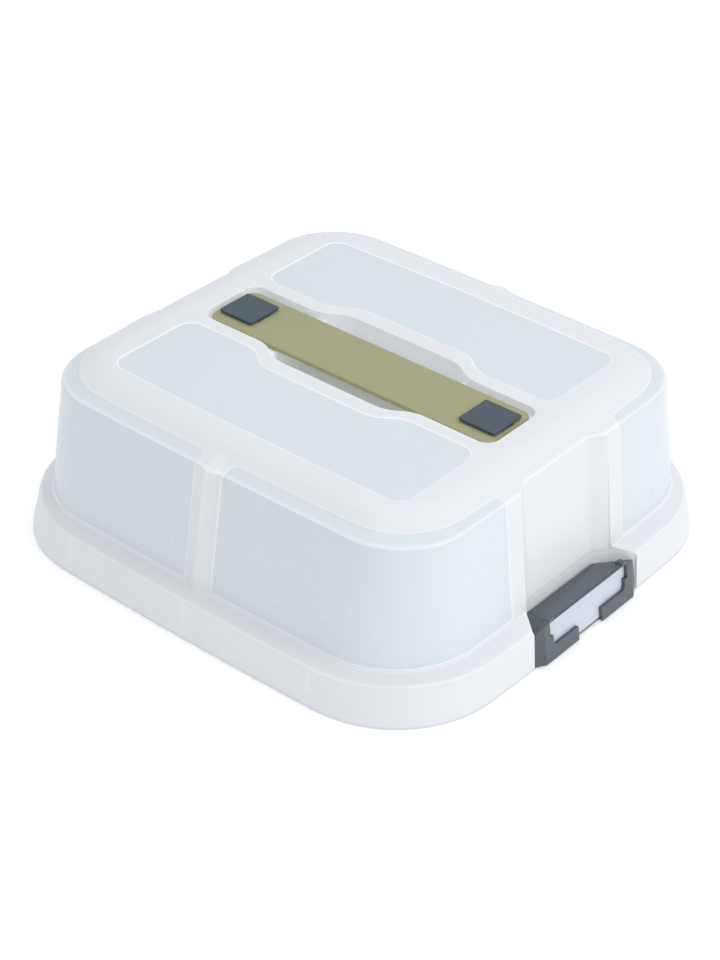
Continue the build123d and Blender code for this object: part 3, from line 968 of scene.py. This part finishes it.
    def recess_x(self, y: float, z: float) -> float:
        """How far out the recess and the notch below it let the +X side reach.

        Args:
            y: place along the side, from its middle.
            z: height.

        Returns:
            The greatest X there.
        """
        slope = self.recess_run / (self.recess_mouth - self.recess_half)
        past, beyond, ease = y - self.recess_half, y - self.recess_mouth, self.recess_ease
        if abs(past) < ease:
            ramp = slope * (past + ease) ** 2 / (4 * ease)
        else:
            ramp = max(0.0, slope * past)
        if z >= self.foot_z:
            floor = self.recess_floor + self.recess_lean * (self.crease_z - z)
            return floor + (ramp if beyond <= 0 else self.recess_run + beyond * self.mouth_slope)
        if beyond <= 0:
            return self.notch_x + ramp
        mouth_x = self.notch_x + self.recess_run
        flank = (self.notch_flank[0] - mouth_x) / (self.notch_flank[1] - self.recess_mouth)
        return mouth_x + flank * beyond if y <= self.notch_flank[1] else UNBOUNDED

    def carve_side(self, base: np.ndarray) -> np.ndarray:
        """Lets the recess and the notch into the +X side.

        Args:
            base: the quarter's points, by row and column.

        Returns:
            The carved points.
        """
        carved = base.copy()
        for column, y in enumerate(self.side_columns):
            if y > self.notch_flank[1] + NEAR:
                break
            line = base[:, column].copy()
            over = [spot[0] - self.recess_x(y, spot[2]) for spot in line]
            for row in range(len(line) - 1):
                at_foot = abs(line[row][2] - self.foot_z) <= self.foot_margin
                if over[row] * over[row + 1] < 0 and not at_foot:
                    share = over[row] / (over[row] - over[row + 1])
                    if share > 0.5:
                        low, high = base[row, column], base[row + 1, column]
                        line[row + 1] = low + (high - low) * share
                    else:
                        line[row] += (line[row + 1] - line[row]) * share
            for row, spot in enumerate(line):
                wanted = self.recess_x(y, spot[2])
                soft = 0.0
                if spot[2] > self.foot_z and y > self.mouth_round_from:
                    apart = max(0.0, 1.0 - abs(spot[0] - wanted) / self.mouth_round)
                    soft = self.mouth_round * apart * apart / 4
                carved[row, column] = (min(spot[0], wanted) - soft, spot[1], spot[2])
        return carved

    def raise_rib(self, carved: np.ndarray) -> np.ndarray:
        """Raises the upright rib in the middle of the +Y side.

        Args:
            carved: the quarter's points.

        Returns:
            The points with the rib.
        """
        _, _, foot, crease, *_ = self.levels()
        lean = (crease.in_y - foot.in_y) / (crease.z - foot.z)
        round_by, sharpen_by = self.rib_powers
        for row, column in np.ndindex(carved.shape[:2]):
            x, y, z = carved[row, column]
            on_side = column >= carved.shape[1] - len(self.end_columns)
            if not on_side or x >= self.rib_half or z < self.foot_z - self.rib_below:
                continue
            crown = (1 - abs(x / self.rib_half) ** round_by) ** sharpen_by
            low = z < foot.z + self.rib_foot
            rest = self.half_y - foot.in_y - lean * (z - foot.z) if low else y
            past = max(0.0, z - self.crease_z) / self.rib_fade
            fade = max(0.0, 1 - past**2) ** 0.5
            carved[row, column, 1] = max(y, rest + self.rib_height * crown * fade)
        return carved

    def windows(
        self, base: np.ndarray, carved: np.ndarray
    ) -> tuple[np.ndarray, np.ndarray, np.ndarray]:
        """Steps the clear fields in around the corners.

        Args:
            base: the plain quarter, by row and column.
            carved: the quarter with its recess and rib.

        Returns:
            The stepped points, how clear each is, and how strong a painted highlight line is there.
        """
        normal = np.cross(np.gradient(base, axis=1), np.gradient(base, axis=0))
        size = np.linalg.norm(normal, axis=2, keepdims=True)
        normal = normal / np.where(size > 0, size, 1)
        steps = np.linalg.norm(np.diff(base, axis=0), axis=2)
        walked = np.vstack([np.zeros(base.shape[1]), np.cumsum(steps, axis=0)])
        pane, edge = np.zeros(base.shape[:2]), np.zeros(base.shape[:2])
        for column in range(base.shape[1]):
            way = walked[:, column]
            low, high = (
                np.interp(z, base[:, column, 2], way) for z in (self.side_foot_z, self.brow_z)
            )
            for row, (x, y, _) in enumerate(base[:, column]):
                across = min(y - self.side_gap_y, x - self.side_gap_x)
                upright = min(way[row] - low, high - way[row])
                under = way[row] - low < high - way[row]
                short = self.side_foot_corner if under else self.side_corner
                inside = min(across, upright)
                if across < short and upright < short:
                    inside = short - math.hypot(short - across, short - upright)
                depth = min(1.0, max(0.0, inside / self.step_width))
                pane[row, column] = depth * depth * (3 - 2 * depth)
                # painted highlight line along the step and along bends
                on_step = 1 - abs(inside - self.step_width / 2) / self.step_line
                edge[row, column] = max(0.0, on_step, self.bend_line(base[row, column]))
        return carved - normal * (pane * self.pane_step)[:, :, None], pane, edge

    def bend_line(self, spot: np.ndarray) -> float:
        """How strong a painted highlight line is where the sheet bends, at the recess mouth and on
        the rib's crest.

        Args:
            spot: a point of the plain quarter.

        Returns:
            The line's strength.
        """
        x, y, z = spot
        found = [share * (1 - abs(z - height) / width) for height, width, share in self.bend_lines]
        if self.foot_z < z < self.crease_z and x > self.side_x:
            off = abs(y - self.recess_mouth - self.mouth_line_shift)
            found.append(self.mouth_line * (1 - off / self.mouth_line_half))
        if self.foot_z < z < self.brow_z and x < self.rib_half:
            rise = min(1.0, max(0.0, (z - self.crest_line_from) / self.crest_line_rise))
            found.append(self.crest_line * (1 - x / self.crest_line_half) * rise)
        return max(found)

    @staticmethod
    def whole(quarter: np.ndarray) -> np.ndarray:
        """All four quarters of a grid, anticlockwise from the middle of the +X side.

        Args:
            quarter: points or values by row and column.

        Returns:
            The same for the whole ring.
        """
        back = quarter[:, -2::-1]
        parts = (
            (quarter, (1, 1, 1)), (back, (-1, 1, 1)),
            (quarter[:, 1:], (-1, -1, 1)), (back[:, :-1], (1, -1, 1)),
        )
        solid = quarter.ndim == 3
        turned = [part * np.array(signs) if solid else part for part, signs in parts]
        return np.concatenate(turned, axis=1)

    def pane_outline(self) -> list[Spot]:
        """Plan of the clear field on the +Y half of the top, anticlockwise.

        Returns:
            The outline.
        """
        half, corner, outer = self.pane_half_x, self.pane_corner, self.pane_outer_y
        bowed = [
            (x, outer - self.pane_bow * (x / half) ** 2, 0.0)
            for x in np.linspace(self.pane_bow_x, -self.pane_bow_x, 21)
        ]
        waist = self.waist(self.pane_curve, (self.pane_inner_y, self.pane_bay_y))
        inner = [(x, y, 0.0) for x, y in waist]
        right = [(half, self.pane_inner_y, corner), (half, outer - self.pane_bow, corner)]
        left = [(-x, y, radius) for x, y, radius in reversed(right)]
        return soften([*right, *bowed, *left, *[(-x, y, r) for x, y, r in inner], *inner[::-1]])

    @staticmethod
    def waist(
        curve_x: Spot, half: Spot, stations: Sequence[float] = (), count: int = 13
    ) -> list[Spot]:
        """An S curve between two straight runs, from its outer end to its inner end.

        Args:
            curve_x: X where it starts and where it ends.
            half: Y before it and after it.
            stations: places in X that it has to have as well.
            count: how many even places it has.

        Returns:
            Its points.
        """
        run, rise = (curve_x[0] - curve_x[1]) / 2, (half[1] - half[0]) / 2
        radius = (run**2 + rise**2) / (2 * rise)
        places = sorted({*np.linspace(*curve_x, count).round(6), *stations}, reverse=True)
        found = []
        for x in places:
            if x >= sum(curve_x) / 2:
                y = half[0] + radius - math.sqrt(radius**2 - (curve_x[0] - x) ** 2)
            else:
                y = half[1] - radius + math.sqrt(radius**2 - (x - curve_x[1]) ** 2)
            found.append((float(x), y))
        return found

    def floor_z(self, x: float) -> float:
        """Height of the channel's floor, which drops into the finger bay.

        Args:
            x: the place along the channel.

        Returns:
            The height there.
        """
        up = [self.bay_z + rise for rise in (0.0, *self.bay_foot_rise)]
        down = [self.channel_z - drop for drop in (*self.bay_brow_drop, 0.0)]
        return float(np.interp(abs(x), self.bay_ramp, up + down))

    def channel_outline(self) -> list[Spot]:
        """Plan of the strap channel from its +X end to the middle of its +Y side.

        Returns:
            The outline's quarter.
        """
        half_y, corner = self.channel_half_y, self.channel_corner
        middle_x, middle_y = self.channel_half_x - corner, half_y - corner
        turns = [math.radians(90 * share) for share in (0, *even(7), 1)]
        spots = [(self.channel_half_x, self.stem_hole_y)]
        spots += [(middle_x + corner * math.cos(a), middle_y + corner * math.sin(a)) for a in turns]
        columns = sorted((*self.stem_hole_x, *self.channel_columns), reverse=True)
        spots += [(x, half_y) for x in columns]
        spots += self.waist(self.bay_curve, (half_y, self.bay_half_y), self.bay_ramp)
        return spots + [(x, self.bay_half_y) for x in self.bay_columns]

    def add_channel(self, draft: Draft) -> list[int]:
        """Adds the channel's walls and floor.

        Args:
            draft: the hood so far.

        Returns:
            The loop where it meets the flat top.
        """
        corner = self.channel_outline()
        back = corner[-2::-1]
        loop = corner + [(-x, y) for x, y in back]
        loop += [(-x, -y) for x, y in corner] + [(x, -y) for x, y in back]
        rim, ease, inwards = self.channel_rim, self.channel_ease, self.channel_draft
        floor = [self.floor_z(x) for x, _ in loop]
        # reach beyond the outline, heights and painted highlight line of each row
        plans: list[tuple[float, list[float], float]] = []
        for angle in (0, 22, 45, 68, 90):
            turn = math.radians(angle)
            level = [self.top_z - rim * (1 - math.cos(turn))] * len(loop)
            plans.append((rim * (1 - math.sin(turn)), level, self.rim_line if angle else 0.0))
        for share in even(3):
            high = (self.top_z - rim) * (1 - share)
            plans.append((-inwards * share, [high + (low + ease) * share for low in floor], 0.0))
        for turn in QUARTER:
            rise = ease * (1 - math.sin(turn))
            reach = -inwards - ease * (1 - math.cos(turn))
            plans.append((reach, [low + rise for low in floor], 0.0))
        # painted light, rising from the rim into the channel walls and the bay
        shares = [*self.rim_glow, *[1.0] * (len(plans) - len(self.rim_glow))]
        rows = []
        for (reach, heights, edge), share in zip(plans, shares):
            spots = grown(loop, reach)
            in_bay = [abs(x) < self.bay_glow_wall_x for x, _ in spots]
            glow = [share * (self.bay_glow if bay else self.wall_glow) for bay in in_bay]
            points = [(x, y, z) for (x, y), z in zip(spots, heights)]
            rows.append(draft.add(points, edge=edge, glow=glow))
        draft.bands(rows)
        self.add_floor(draft, rows[-1], 2 * len(corner) - 1)
        return rows[0]

    def add_floor(self, draft: Draft, foot: list[int], count: int) -> None:
        """Adds the channel's floor with the holes for the caps' stems.

        Args:
            draft: the hood so far.
            foot: the loop at the foot of the channel's walls.
            count: how many of its points lie on the +Y half.
        """
        upper, lower = foot[:count], foot[: -count - 1 : -1]
        sections = [(upper[1], upper[0], lower[0], lower[1])]
        for place in range(2, count - 2):
            x, _, z = draft.points[upper[place]]
            # painted light on the floor of the finger bay
            floor_painted_glow = self.bay_glow if abs(x) < self.bay_glow_floor_x else 0.0
            ends = [(x, self.stem_hole_y, z), (x, -self.stem_hole_y, z)]
            sections.append((upper[place], *draft.add(ends, glow=floor_painted_glow), lower[place]))
        sections.append((upper[-2], upper[-1], lower[-1], lower[-2]))
        for here, there in zip(sections, sections[1:]):
            middle_x = abs(draft.points[here[0]][0] + draft.points[there[0]][0]) / 2
            holed = self.stem_hole_x[0] < middle_x < self.stem_hole_x[1]
            for part in (0, 2) if holed else (0, 1, 2):
                draft.face(here[part], there[part], there[part + 1], here[part + 1])

    def add_pane(self, draft: Draft, side: int) -> list[int]:
        """Adds a clear field of the top.

        Args:
            draft: the hood so far.
            side: 1 for the +Y half, -1 for the other.

        Returns:
            The loop where it meets the flat top.
        """
        outline = [(x, y * side) for x, y in self.pane_outline()][::side]
        high, low = self.top_z, self.top_z - self.pane_step
        # each row: reach beyond the outline, height, painted highlight line and clearness
        rows = [
            draft.add(((x, y, z) for x, y in grown(outline, reach)), edge=edge, pane=pane)
            for reach, z, edge, pane in (
                (0.9, high, 0.0, 0.0), (0.3, high, 1.0, 0.0), (-0.3, low, 1.0, 0.6),
                (-0.9, low, 0.0, 1.0),
            )
        ]
        draft.bands(rows)
        draft.fill(rows[-1])
        return rows[0]

    def shell(self) -> bpy.types.Object:
        """Builds the hood's outer sheet and gives it its thickness.

        Returns:
            The shell.
        """
        rings = self.rows()
        base = np.array([self.quarter_row(ring) for ring in rings])
        carved = self.raise_rib(self.carve_side(base))
        stepped, pane, edge = self.windows(base, carved)
        # painted light at the foot of the recess and in the notch, lifting their shade
        depth = np.clip((base[:, :, 0] - carved[:, :, 0]) / self.low_glow_depth, 0.0, 1.0)
        height = np.clip((self.low_glow_top - base[:, :, 2]) / self.low_glow_run, 0.0, 1.0)
        glow = self.low_glow * depth * height
        parts = [self.whole(part) for part in (stepped, pane, edge, glow)]
        draft = Draft()
        grid = [
            draft.add(spots.tolist(), pane=clear.tolist(), edge=line.tolist(), glow=low.tolist())
            for spots, clear, line, low in zip(*parts)
        ]
        side_y = np.abs(self.whole(base)[0, :, 1])
        out_x = np.abs(parts[0][0, :, 0])
        for ring, under, over in zip(rings[1:], grid, grid[1:]):
            for here in range(len(under)):
                there = (here + 1) % len(under)
                in_notch = max(side_y[here], side_y[there]) <= self.recess_mouth + NEAR
                if in_notch and ring[0] <= self.seat_z + NEAR and out_x[here] > self.side_x:
                    continue
                draft.face(under[here], under[there], over[there], over[here])
        inner = [self.add_channel(draft), self.add_pane(draft, 1), self.add_pane(draft, -1)]
        draft.fill(grid[-1], *inner)
        made = draft.build("hood_shell", outward=False)
        self._face_out(made.data)
        thickness = made.modifiers.new("wall", "SOLIDIFY")
        thickness.thickness = self.wall * MM
        thickness.offset = -1.0
        thickness.use_even_offset = True
        thickness.use_quality_normals = True
        return made

    @staticmethod
    def _face_out(sheet: bpy.types.Mesh) -> None:
        """Turns every face outwards, judged by the flat top.

        Args:
            sheet: the open sheet.
        """
        with reworked(sheet) as shell:
            loose = [vert for vert in shell.verts if not vert.link_faces]
            bmesh.ops.delete(shell, geom=loose, context="VERTS")
            bmesh.ops.recalc_face_normals(shell, faces=shell.faces)
            top = max(
                shell.faces, key=lambda face: face.calc_center_median().z + MM * face.calc_area()
            )
            if top.normal.z < 0:
                bmesh.ops.reverse_faces(shell, faces=shell.faces)
        sheet.set_sharp_from_angle(angle=math.radians(50.0))

    def build(self) -> None:
        """Builds the hood and sets it in place of its solid."""
        settle(self.shell(), Finishes.HOOD, "hood", ["hood"])
        for side in Side:
            dress(f"latch_pin_{side.word}", Finishes.PIN)


@dataclass
class Gussets:
    """Upright plates between the skirt and the ledge, set out along the walls."""

    thickness: float = 2.0
    foot_z: float = 8.0
    places_x: tuple[float, ...] = (-101.0, 0.0, 101.0)
    places_y: tuple[float, ...] = (-88.0, 88.0)
    half_x: float = 184.5
    half_y: float = 174.5
    bow: float = 4.5
    section: tuple[Spot, ...] = ((1.7, 0.0), (10.8, 0.0), (10.8, 20.9), (2.6, 16.4))

    def seats(self) -> list[tuple[float, float, float]]:
        """Where the plates stand on the skirt, and which way each is turned.

        Returns:
            X, Y and the turn about Z of each.
        """
        found = []
        for x in self.places_x:
            reach = self.half_y - self.bow * (x / (self.half_x - self.bow)) ** 2
            found += [(x, sign * reach, -sign * math.pi / 2) for sign in (1, -1)]
        for y in self.places_y:
            reach = self.half_x - self.bow * (y / (self.half_y - self.bow)) ** 2
            found += [(reach, y, math.pi), (-reach, y, 0.0)]
        return found

    def tree(self) -> tuple[bpy.types.NodeTree, dict[str, str]]:
        """Builds the node tree that stands one plate on every point.

        Returns:
            The tree, and its inputs' identifiers by name.
        """
        tree = bpy.data.node_groups.new("skirt_gussets", "GeometryNodeTree")
        board = Board(tree)
        names, given = {}, {}
        for label, kind in (
            ("Points", "Geometry"), ("Thickness", "Float"), ("Foot height", "Float"),
            ("Plastic", "Material"),
        ):
            socket = tree.interface.new_socket(
                label, in_out="INPUT", socket_type=f"NodeSocket{kind}"
            )
            names[label] = socket.identifier
            given[label] = board.node("NodeGroupInput", output=label)
        tree.interface.new_socket("Plates", in_out="OUTPUT", socket_type="NodeSocketGeometry")

        def step(kind: str, **inputs: Any) -> Wire:
            """Places a geometry node whose inputs are named by words, with _ for a space."""
            by_name = {name.replace("_", " "): value for name, value in inputs.items()}
            return board.node(f"GeometryNode{kind}", None, by_name)

        corners = {f"Point {k}": (x * MM, z * MM, 0.0) for k, (x, z) in enumerate(self.section, 1)}
        outline = board.node(
            "GeometryNodeCurvePrimitiveQuadrilateral", {"mode": "POINTS"}, corners
        )
        plate = board.node("GeometryNodeFillCurve", {"mode": "NGONS"}, {"Curve": outline})
        drawn = step(
            "ExtrudeMesh", Mesh=plate, Offset=(0.0, 0.0, 1.0), Offset_Scale=given["Thickness"]
        )
        back = step("FlipFaces", Mesh=plate)
        joined = step("JoinGeometry", Geometry=[drawn, back])
        closed = step("MergeByDistance", Geometry=joined, Distance=SAME_IN_PLATE)
        middle = board.node("ShaderNodeCombineXYZ", None, {"Z": given["Thickness"] * -0.5})
        centred = step("Transform", Geometry=closed, Translation=middle)
        lift = board.node("ShaderNodeCombineXYZ", None, {"Z": given["Foot height"]})
        upright = step(
            "Transform", Geometry=centred, Translation=lift, Rotation=(math.pi / 2, 0.0, 0.0)
        )
        turn = board.node(
            "GeometryNodeInputNamedAttribute", {"data_type": "FLOAT"}, {"Name": "turn"}
        )
        turned = board.node("ShaderNodeCombineXYZ", None, {"Z": turn})
        standing = step(
            "InstanceOnPoints", Points=given["Points"], Instance=upright, Rotation=turned
        )
        real = step("RealizeInstances", Geometry=standing)
        painted = step("SetMaterial", Geometry=real, Material=given["Plastic"])
        board.node("NodeGroupOutput", None, {"Plates": painted}, output=None)
        return tree, names

    def build(self) -> None:
        """Stands the plates and turns them into a plain mesh."""
        seats = self.seats()
        mesh = bpy.data.meshes.new("gusset_seats")
        mesh.from_pydata([(x * MM, y * MM, 0.0) for x, y, _ in seats], [], [])
        write_mark(mesh, "turn", [turn for _, _, turn in seats])
        tree, names = self.tree()
        values = {
            names["Thickness"]: self.thickness * MM,
            names["Foot height"]: self.foot_z * MM,
            names["Plastic"]: Finishes.HOOD.value.material(),
        }
        settle(self.plain("hood_gussets", mesh, tree, values), Finishes.HOOD, "hood")

    @staticmethod
    def plain(
        name: str, seed: bpy.types.Mesh, tree: bpy.types.NodeTree, values: dict[str, Any]
    ) -> bpy.types.Object:
        """Runs a geometry tree on a mesh and keeps the plain result.

        Args:
            name: the piece's name.
            seed: the mesh that the tree starts from.
            tree: the tree.
            values: its inputs by identifier.

        Returns:
            A plain mesh object.
        """
        holder = placed(name, seed)
        grown_by = holder.modifiers.new("grown", "NODES")
        grown_by.node_group = tree
        for identifier, value in values.items():
            grown_by[identifier] = value
        shown = holder.evaluated_get(bpy.context.evaluated_depsgraph_get())
        result = bpy.data.meshes.new_from_object(shown)
        result.name = name
        holder.modifiers.remove(grown_by)
        holder.data = result
        return holder


# ---- tray and latches


@dataclass
class Tray:
    """The tray that the cake stands on."""

    easing: float = 0.45

    def build(self) -> None:
        """Eases the tray's edges and sets it in place of its solid."""
        settle(copied("base_tray", "tray", self.easing), Finishes.TRAY, "tray", ["base_tray"])


@dataclass
class Latch:
    """One clip latch with its blank label card."""

    side: Side
    easing: float = 0.35

    def build(self) -> None:
        """Eases the latch's edges, and gives its card a finish."""
        word = self.side.word
        node = f"latch_{word}"
        body = copied(node, f"latch_body_{word}", self.easing)
        settle(body, Finishes.LATCH, node, [node])
        dress(f"label_card_{word}", Finishes.CARD)


# ---- strap and caps


@dataclass
class StrapHalf:
    """Half of the strap handle, from its middle to one end, in two pieces."""

    side: Side
    half_width: float = 22.7
    low_z: float = 117.8
    high_z: float = 120.8
    upper_ease: float = 0.9
    lower_ease: float = 0.5
    length: float = 117.3
    corner: float = 7.0
    end_ease: Spot = (0.3, 0.6)
    end_run: float = 0.5
    seam_x: float = 58.0
    hinges: Spot = (38.2, 78.0)
    hinge_reach: float = 2.6
    hinge_cut: float = 1.3
    hinge_half: float = 1.2
    hinge_fine: float = 3.0
    slot_x: Spot = (86.8, 114.6)
    slot_half: float = 6.5

    def section(self, x: float) -> list[tuple[float, float, float]]:
        """The strap's outline across, at one place along it.

        Args:
            x: the place, from the middle.

        Returns:
            Points round the outline, from the upper -Y edge.
        """
        past = max(0.0, x - (self.length - self.corner))
        half = self.half_width - self.corner + math.sqrt(max(0.0, self.corner**2 - past**2))
        bends = [1 - abs(x - hinge) / self.hinge_half for hinge in self.hinges]
        low = self.low_z + self.hinge_cut * max(0.0, *bends)
        high = self.high_z
        if x >= self.length - 1e-6:
            low, high = low + self.end_ease[0], high - self.end_ease[1]
        upper, lower = self.upper_ease, self.lower_ease
        right = [
            (half - upper * (1 - math.sin(a)), high - upper * (1 - math.cos(a))) for a in QUARTER
        ] + [(half - lower * (1 - math.cos(a)), low + lower * (1 - math.sin(a))) for a in QUARTER]
        top = [(-self.slot_half, high), (self.slot_half, high)]
        bottom = [(self.slot_half, low), (-self.slot_half, low)]
        left = [(-y, z) for y, z in reversed(right)]
        return [(x * self.side.value, y, z) for y, z in [*top, *right, *bottom, *left]]

    def stations(self, low: float, high: float) -> list[float]:
        """Places along the strap where it gets an outline, close together at a hinge.

        Args:
            low: the first.
            high: the last.

        Returns:
            The places in order.
        """
        round_from = self.length - self.corner
        turns = [math.radians(angle) for angle in range(0, 91, 9)]
        found = {*self.slot_x, self.length - self.end_run}
        found |= set(np.linspace(low, high, 9).round(4).tolist())
        found |= {round(round_from + self.corner * math.sin(turn), 4) for turn in turns}
        for hinge in self.hinges:
            steps = np.linspace(-self.hinge_fine, self.hinge_fine, 13)
            found |= {round(hinge + step, 4) for step in steps}
        return sorted(x for x in found if low <= x <= high)

    def run(self, name: str, low: float, high: float) -> bpy.types.Object:
        """Builds one length of the strap.

        Args:
            name: the piece's name.
            low: where it starts.
            high: where it ends.

        Returns:
            The piece.
        """
        draft = Draft()
        places = self.stations(low, high)
        rows = [draft.add(self.section(x)) for x in places]
        count = len(rows[0])
        under = 2 + (count - 4) // 2
        for place, (here, there) in enumerate(zip(rows, rows[1:])):
            middle = (places[place] + places[place + 1]) / 2
            slotted = self.slot_x[0] < middle < self.slot_x[1]
            for part in range(count):
                after = (part + 1) % count
                if not slotted or part not in (0, under):
                    draft.face(here[part], here[after], there[after], there[part])
            if slotted:
                draft.face(here[0], there[0], there[under + 1], here[under + 1])
                draft.face(here[1], here[under], there[under], there[1])
        for place, row in zip(places, rows):
            if place in self.slot_x:
                draft.face(row[0], row[1], row[under], row[under + 1])
        draft.face(*rows[0])
        draft.face(*rows[-1])
        made = draft.build(name)
        made.data.set_sharp_from_angle(angle=math.radians(40.0))
        return made

    def build(self) -> None:
        """Builds both lengths and hides the nodes that they stand for."""
        word, sign = self.side.word, self.side.value
        ramp, tab = f"ramp_{word}", f"tab_{word}"
        inner_nodes = [f"handle_ramp_{word}"]
        if self.side is Side.RIGHT:
            inner_nodes.append("handle_grip")
        jobs = (
            ("inner", 0.0, self.seam_x, "grip", ramp, inner_nodes),
            ("outer", self.seam_x, self.length, ramp, tab, [f"handle_tab_{word}"]),
        )
        for (part, low, high, near, far, nodes), hinge in zip(jobs, self.hinges):
            piece = self.run(f"strap_{part}_{word}", low, high)
            settle(piece, Finishes.STRAP, None, nodes)
            start, end = hinge - self.hinge_reach, hinge + self.hinge_reach
            start * sign * MM
            end * sign * MM
            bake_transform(piece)


@dataclass
class Cap:
    """A square cap on its barbed stem, which holds one end of the strap."""

    side: Side
    centre_x: float = 100.6
    half: float = 14.2
    low_z: float = 121.1
    high_z: float = 123.6
    plate: float = 1.75
    foot_inset: Spot = (0.8, 2.2)
    foot_sunk: float = 0.3
    stem_sunk: float = 0.4
    stem_x: Spot = (87.2, 107.4)
    stem_half: float = 5.8
    barb_x: Spot = (90.2, 104.4)
    barb_half: float = 7.0
    barb_z: Spot = (113.35, 115.15)

    def build(self) -> None:
        """Builds the plate, its foot, the stem and the barb."""
        low, high = self.centre_x - self.half, self.centre_x + self.half
        split = self.high_z - self.plate
        in_x, in_y = self.foot_inset
        foot_x, foot_z = (low + in_x, high - in_x), (self.low_z, split + self.foot_sunk)
        stem_z = (self.barb_z[0], self.low_z + self.stem_sunk)
        draft = Draft()
        # X, half width, Z, corner and edge radius of each block
        for x, half_y, z, corner, easing in (
            ((low, high), self.half, (split, self.high_z), 1.5, 0.55),
            (foot_x, self.half - in_y, foot_z, 1.2, 0.15),
            (self.stem_x, self.stem_half, stem_z, 0.8, 0.3),
            (self.barb_x, self.barb_half, self.barb_z, 0.6, 0.4),
        ):
            slab(draft, x, (-half_y, half_y), z, corner, easing)
        draft.points = [(x * self.side.value, y, z) for x, y, z in draft.points]
        word = self.side.word
        settle(draft.build(f"cap_{word}"), Finishes.CAP, "hood", [f"handle_cap_{word}"])


# ---- studio


@dataclass
class Studio:
    """Pale floor, soft lights and the camera at the photograph's place."""

    eye: tuple[float, float, float] = (0.80640, -0.97605, 0.89320)
    azimuth: float = 39.669
    elevation: float = 34.269
    roll: float = 0.942
    lens: float = 86.66
    sensor: float = 36.0
    sky: float = 0.72
    floor_half: float = 4000.0
    aim: tuple[float, float, float] = (0.0, 0.0, 0.06)
    paper: Finish = Finish(
        "studio_paper", "", (0.96, 0.96, 0.96), 0.9, (Layer(3.0, tint=1.0),), (0.03125, 0.0),
        glow=0.22,
    )

    def floor(self) -> None:
        """Lays the floor."""
        half = self.floor_half
        draft = Draft()
        signs = ((-1, -1), (1, -1), (1, 1), (-1, 1))
        draft.face(*draft.add((x * half, y * half, 0) for x, y in signs))
        made = draft.build("floor", outward=False)
        made.data.materials.append(self.paper.material())

    def lamp(
        self, name: str, place: Sequence[float], size: float, power: float, colour: Colour
    ) -> None:
        """Hangs one soft light that points at the object.

        Args:
            name: its name.
            place: where it hangs, in metres.
            size: its width.
            power: its watts.
            colour: its tint.
        """
        light = bpy.data.lights.new(name, "AREA")
        light.shape = "DISK"
        light.size = size
        light.energy = power
        light.color = colour
        made = placed(name, light)
        made.location = place
        way = Vector(self.aim) - Vector(place)
        made.rotation_euler = way.to_track_quat("-Z", "Y").to_euler()

    def camera(self) -> None:
        """Sets the camera."""
        az, el, roll = (math.radians(a) for a in (self.azimuth, self.elevation, self.roll))
        back = Vector((math.sin(az) * math.cos(el), -math.cos(az) * math.cos(el), math.sin(el)))
        right = Vector((math.cos(az), math.sin(az), 0.0))
        up = back.cross(right)
        across = right * math.cos(roll) + up * math.sin(roll)
        upward = up * math.cos(roll) - right * math.sin(roll)
        data = bpy.data.cameras.new("camera")
        data.sensor_fit = "VERTICAL"
        data.sensor_height = self.sensor
        data.lens = self.lens
        made = placed("camera", data)
        turn = Matrix((across, upward, back)).transposed().to_4x4()
        made.matrix_world = Matrix.Translation(self.eye) @ turn
        bpy.context.scene.camera = made

    def build(self) -> None:
        """Sets floor, sky, lights and camera."""
        self.floor()
        world = bpy.data.worlds.new("studio")
        world.use_nodes = True
        board = Board(world.node_tree)
        inputs = {"Color": (0.96, 0.98, 1.0, 1.0), "Strength": self.sky}
        sky = board.node("ShaderNodeBackground", None, inputs)
        board.node("ShaderNodeOutputWorld", None, {"Surface": sky}, output=None)
        scene = bpy.context.scene
        scene.world = world
        scene.view_settings.view_transform = "Standard"
        self.lamp("key", (1.5, 0.1, 1.3), 1.2, 9.5, (1.0, 1.0, 1.0))
        self.lamp("top", (-0.2, 0.4, 1.8), 1.6, 7.0, (0.98, 0.99, 1.0))
        self.camera()


def main() -> None:
    """Builds every sub-assembly in order."""
    logging.basicConfig(level=logging.INFO, format="%(message)s")
    Hood().build()
    Gussets().build()
    Tray().build()
    for side in Side:
        Latch(side).build()
        StrapHalf(side).build()
        Cap(side).build()
    Studio().build()


if __name__ == "__main__":
    main()
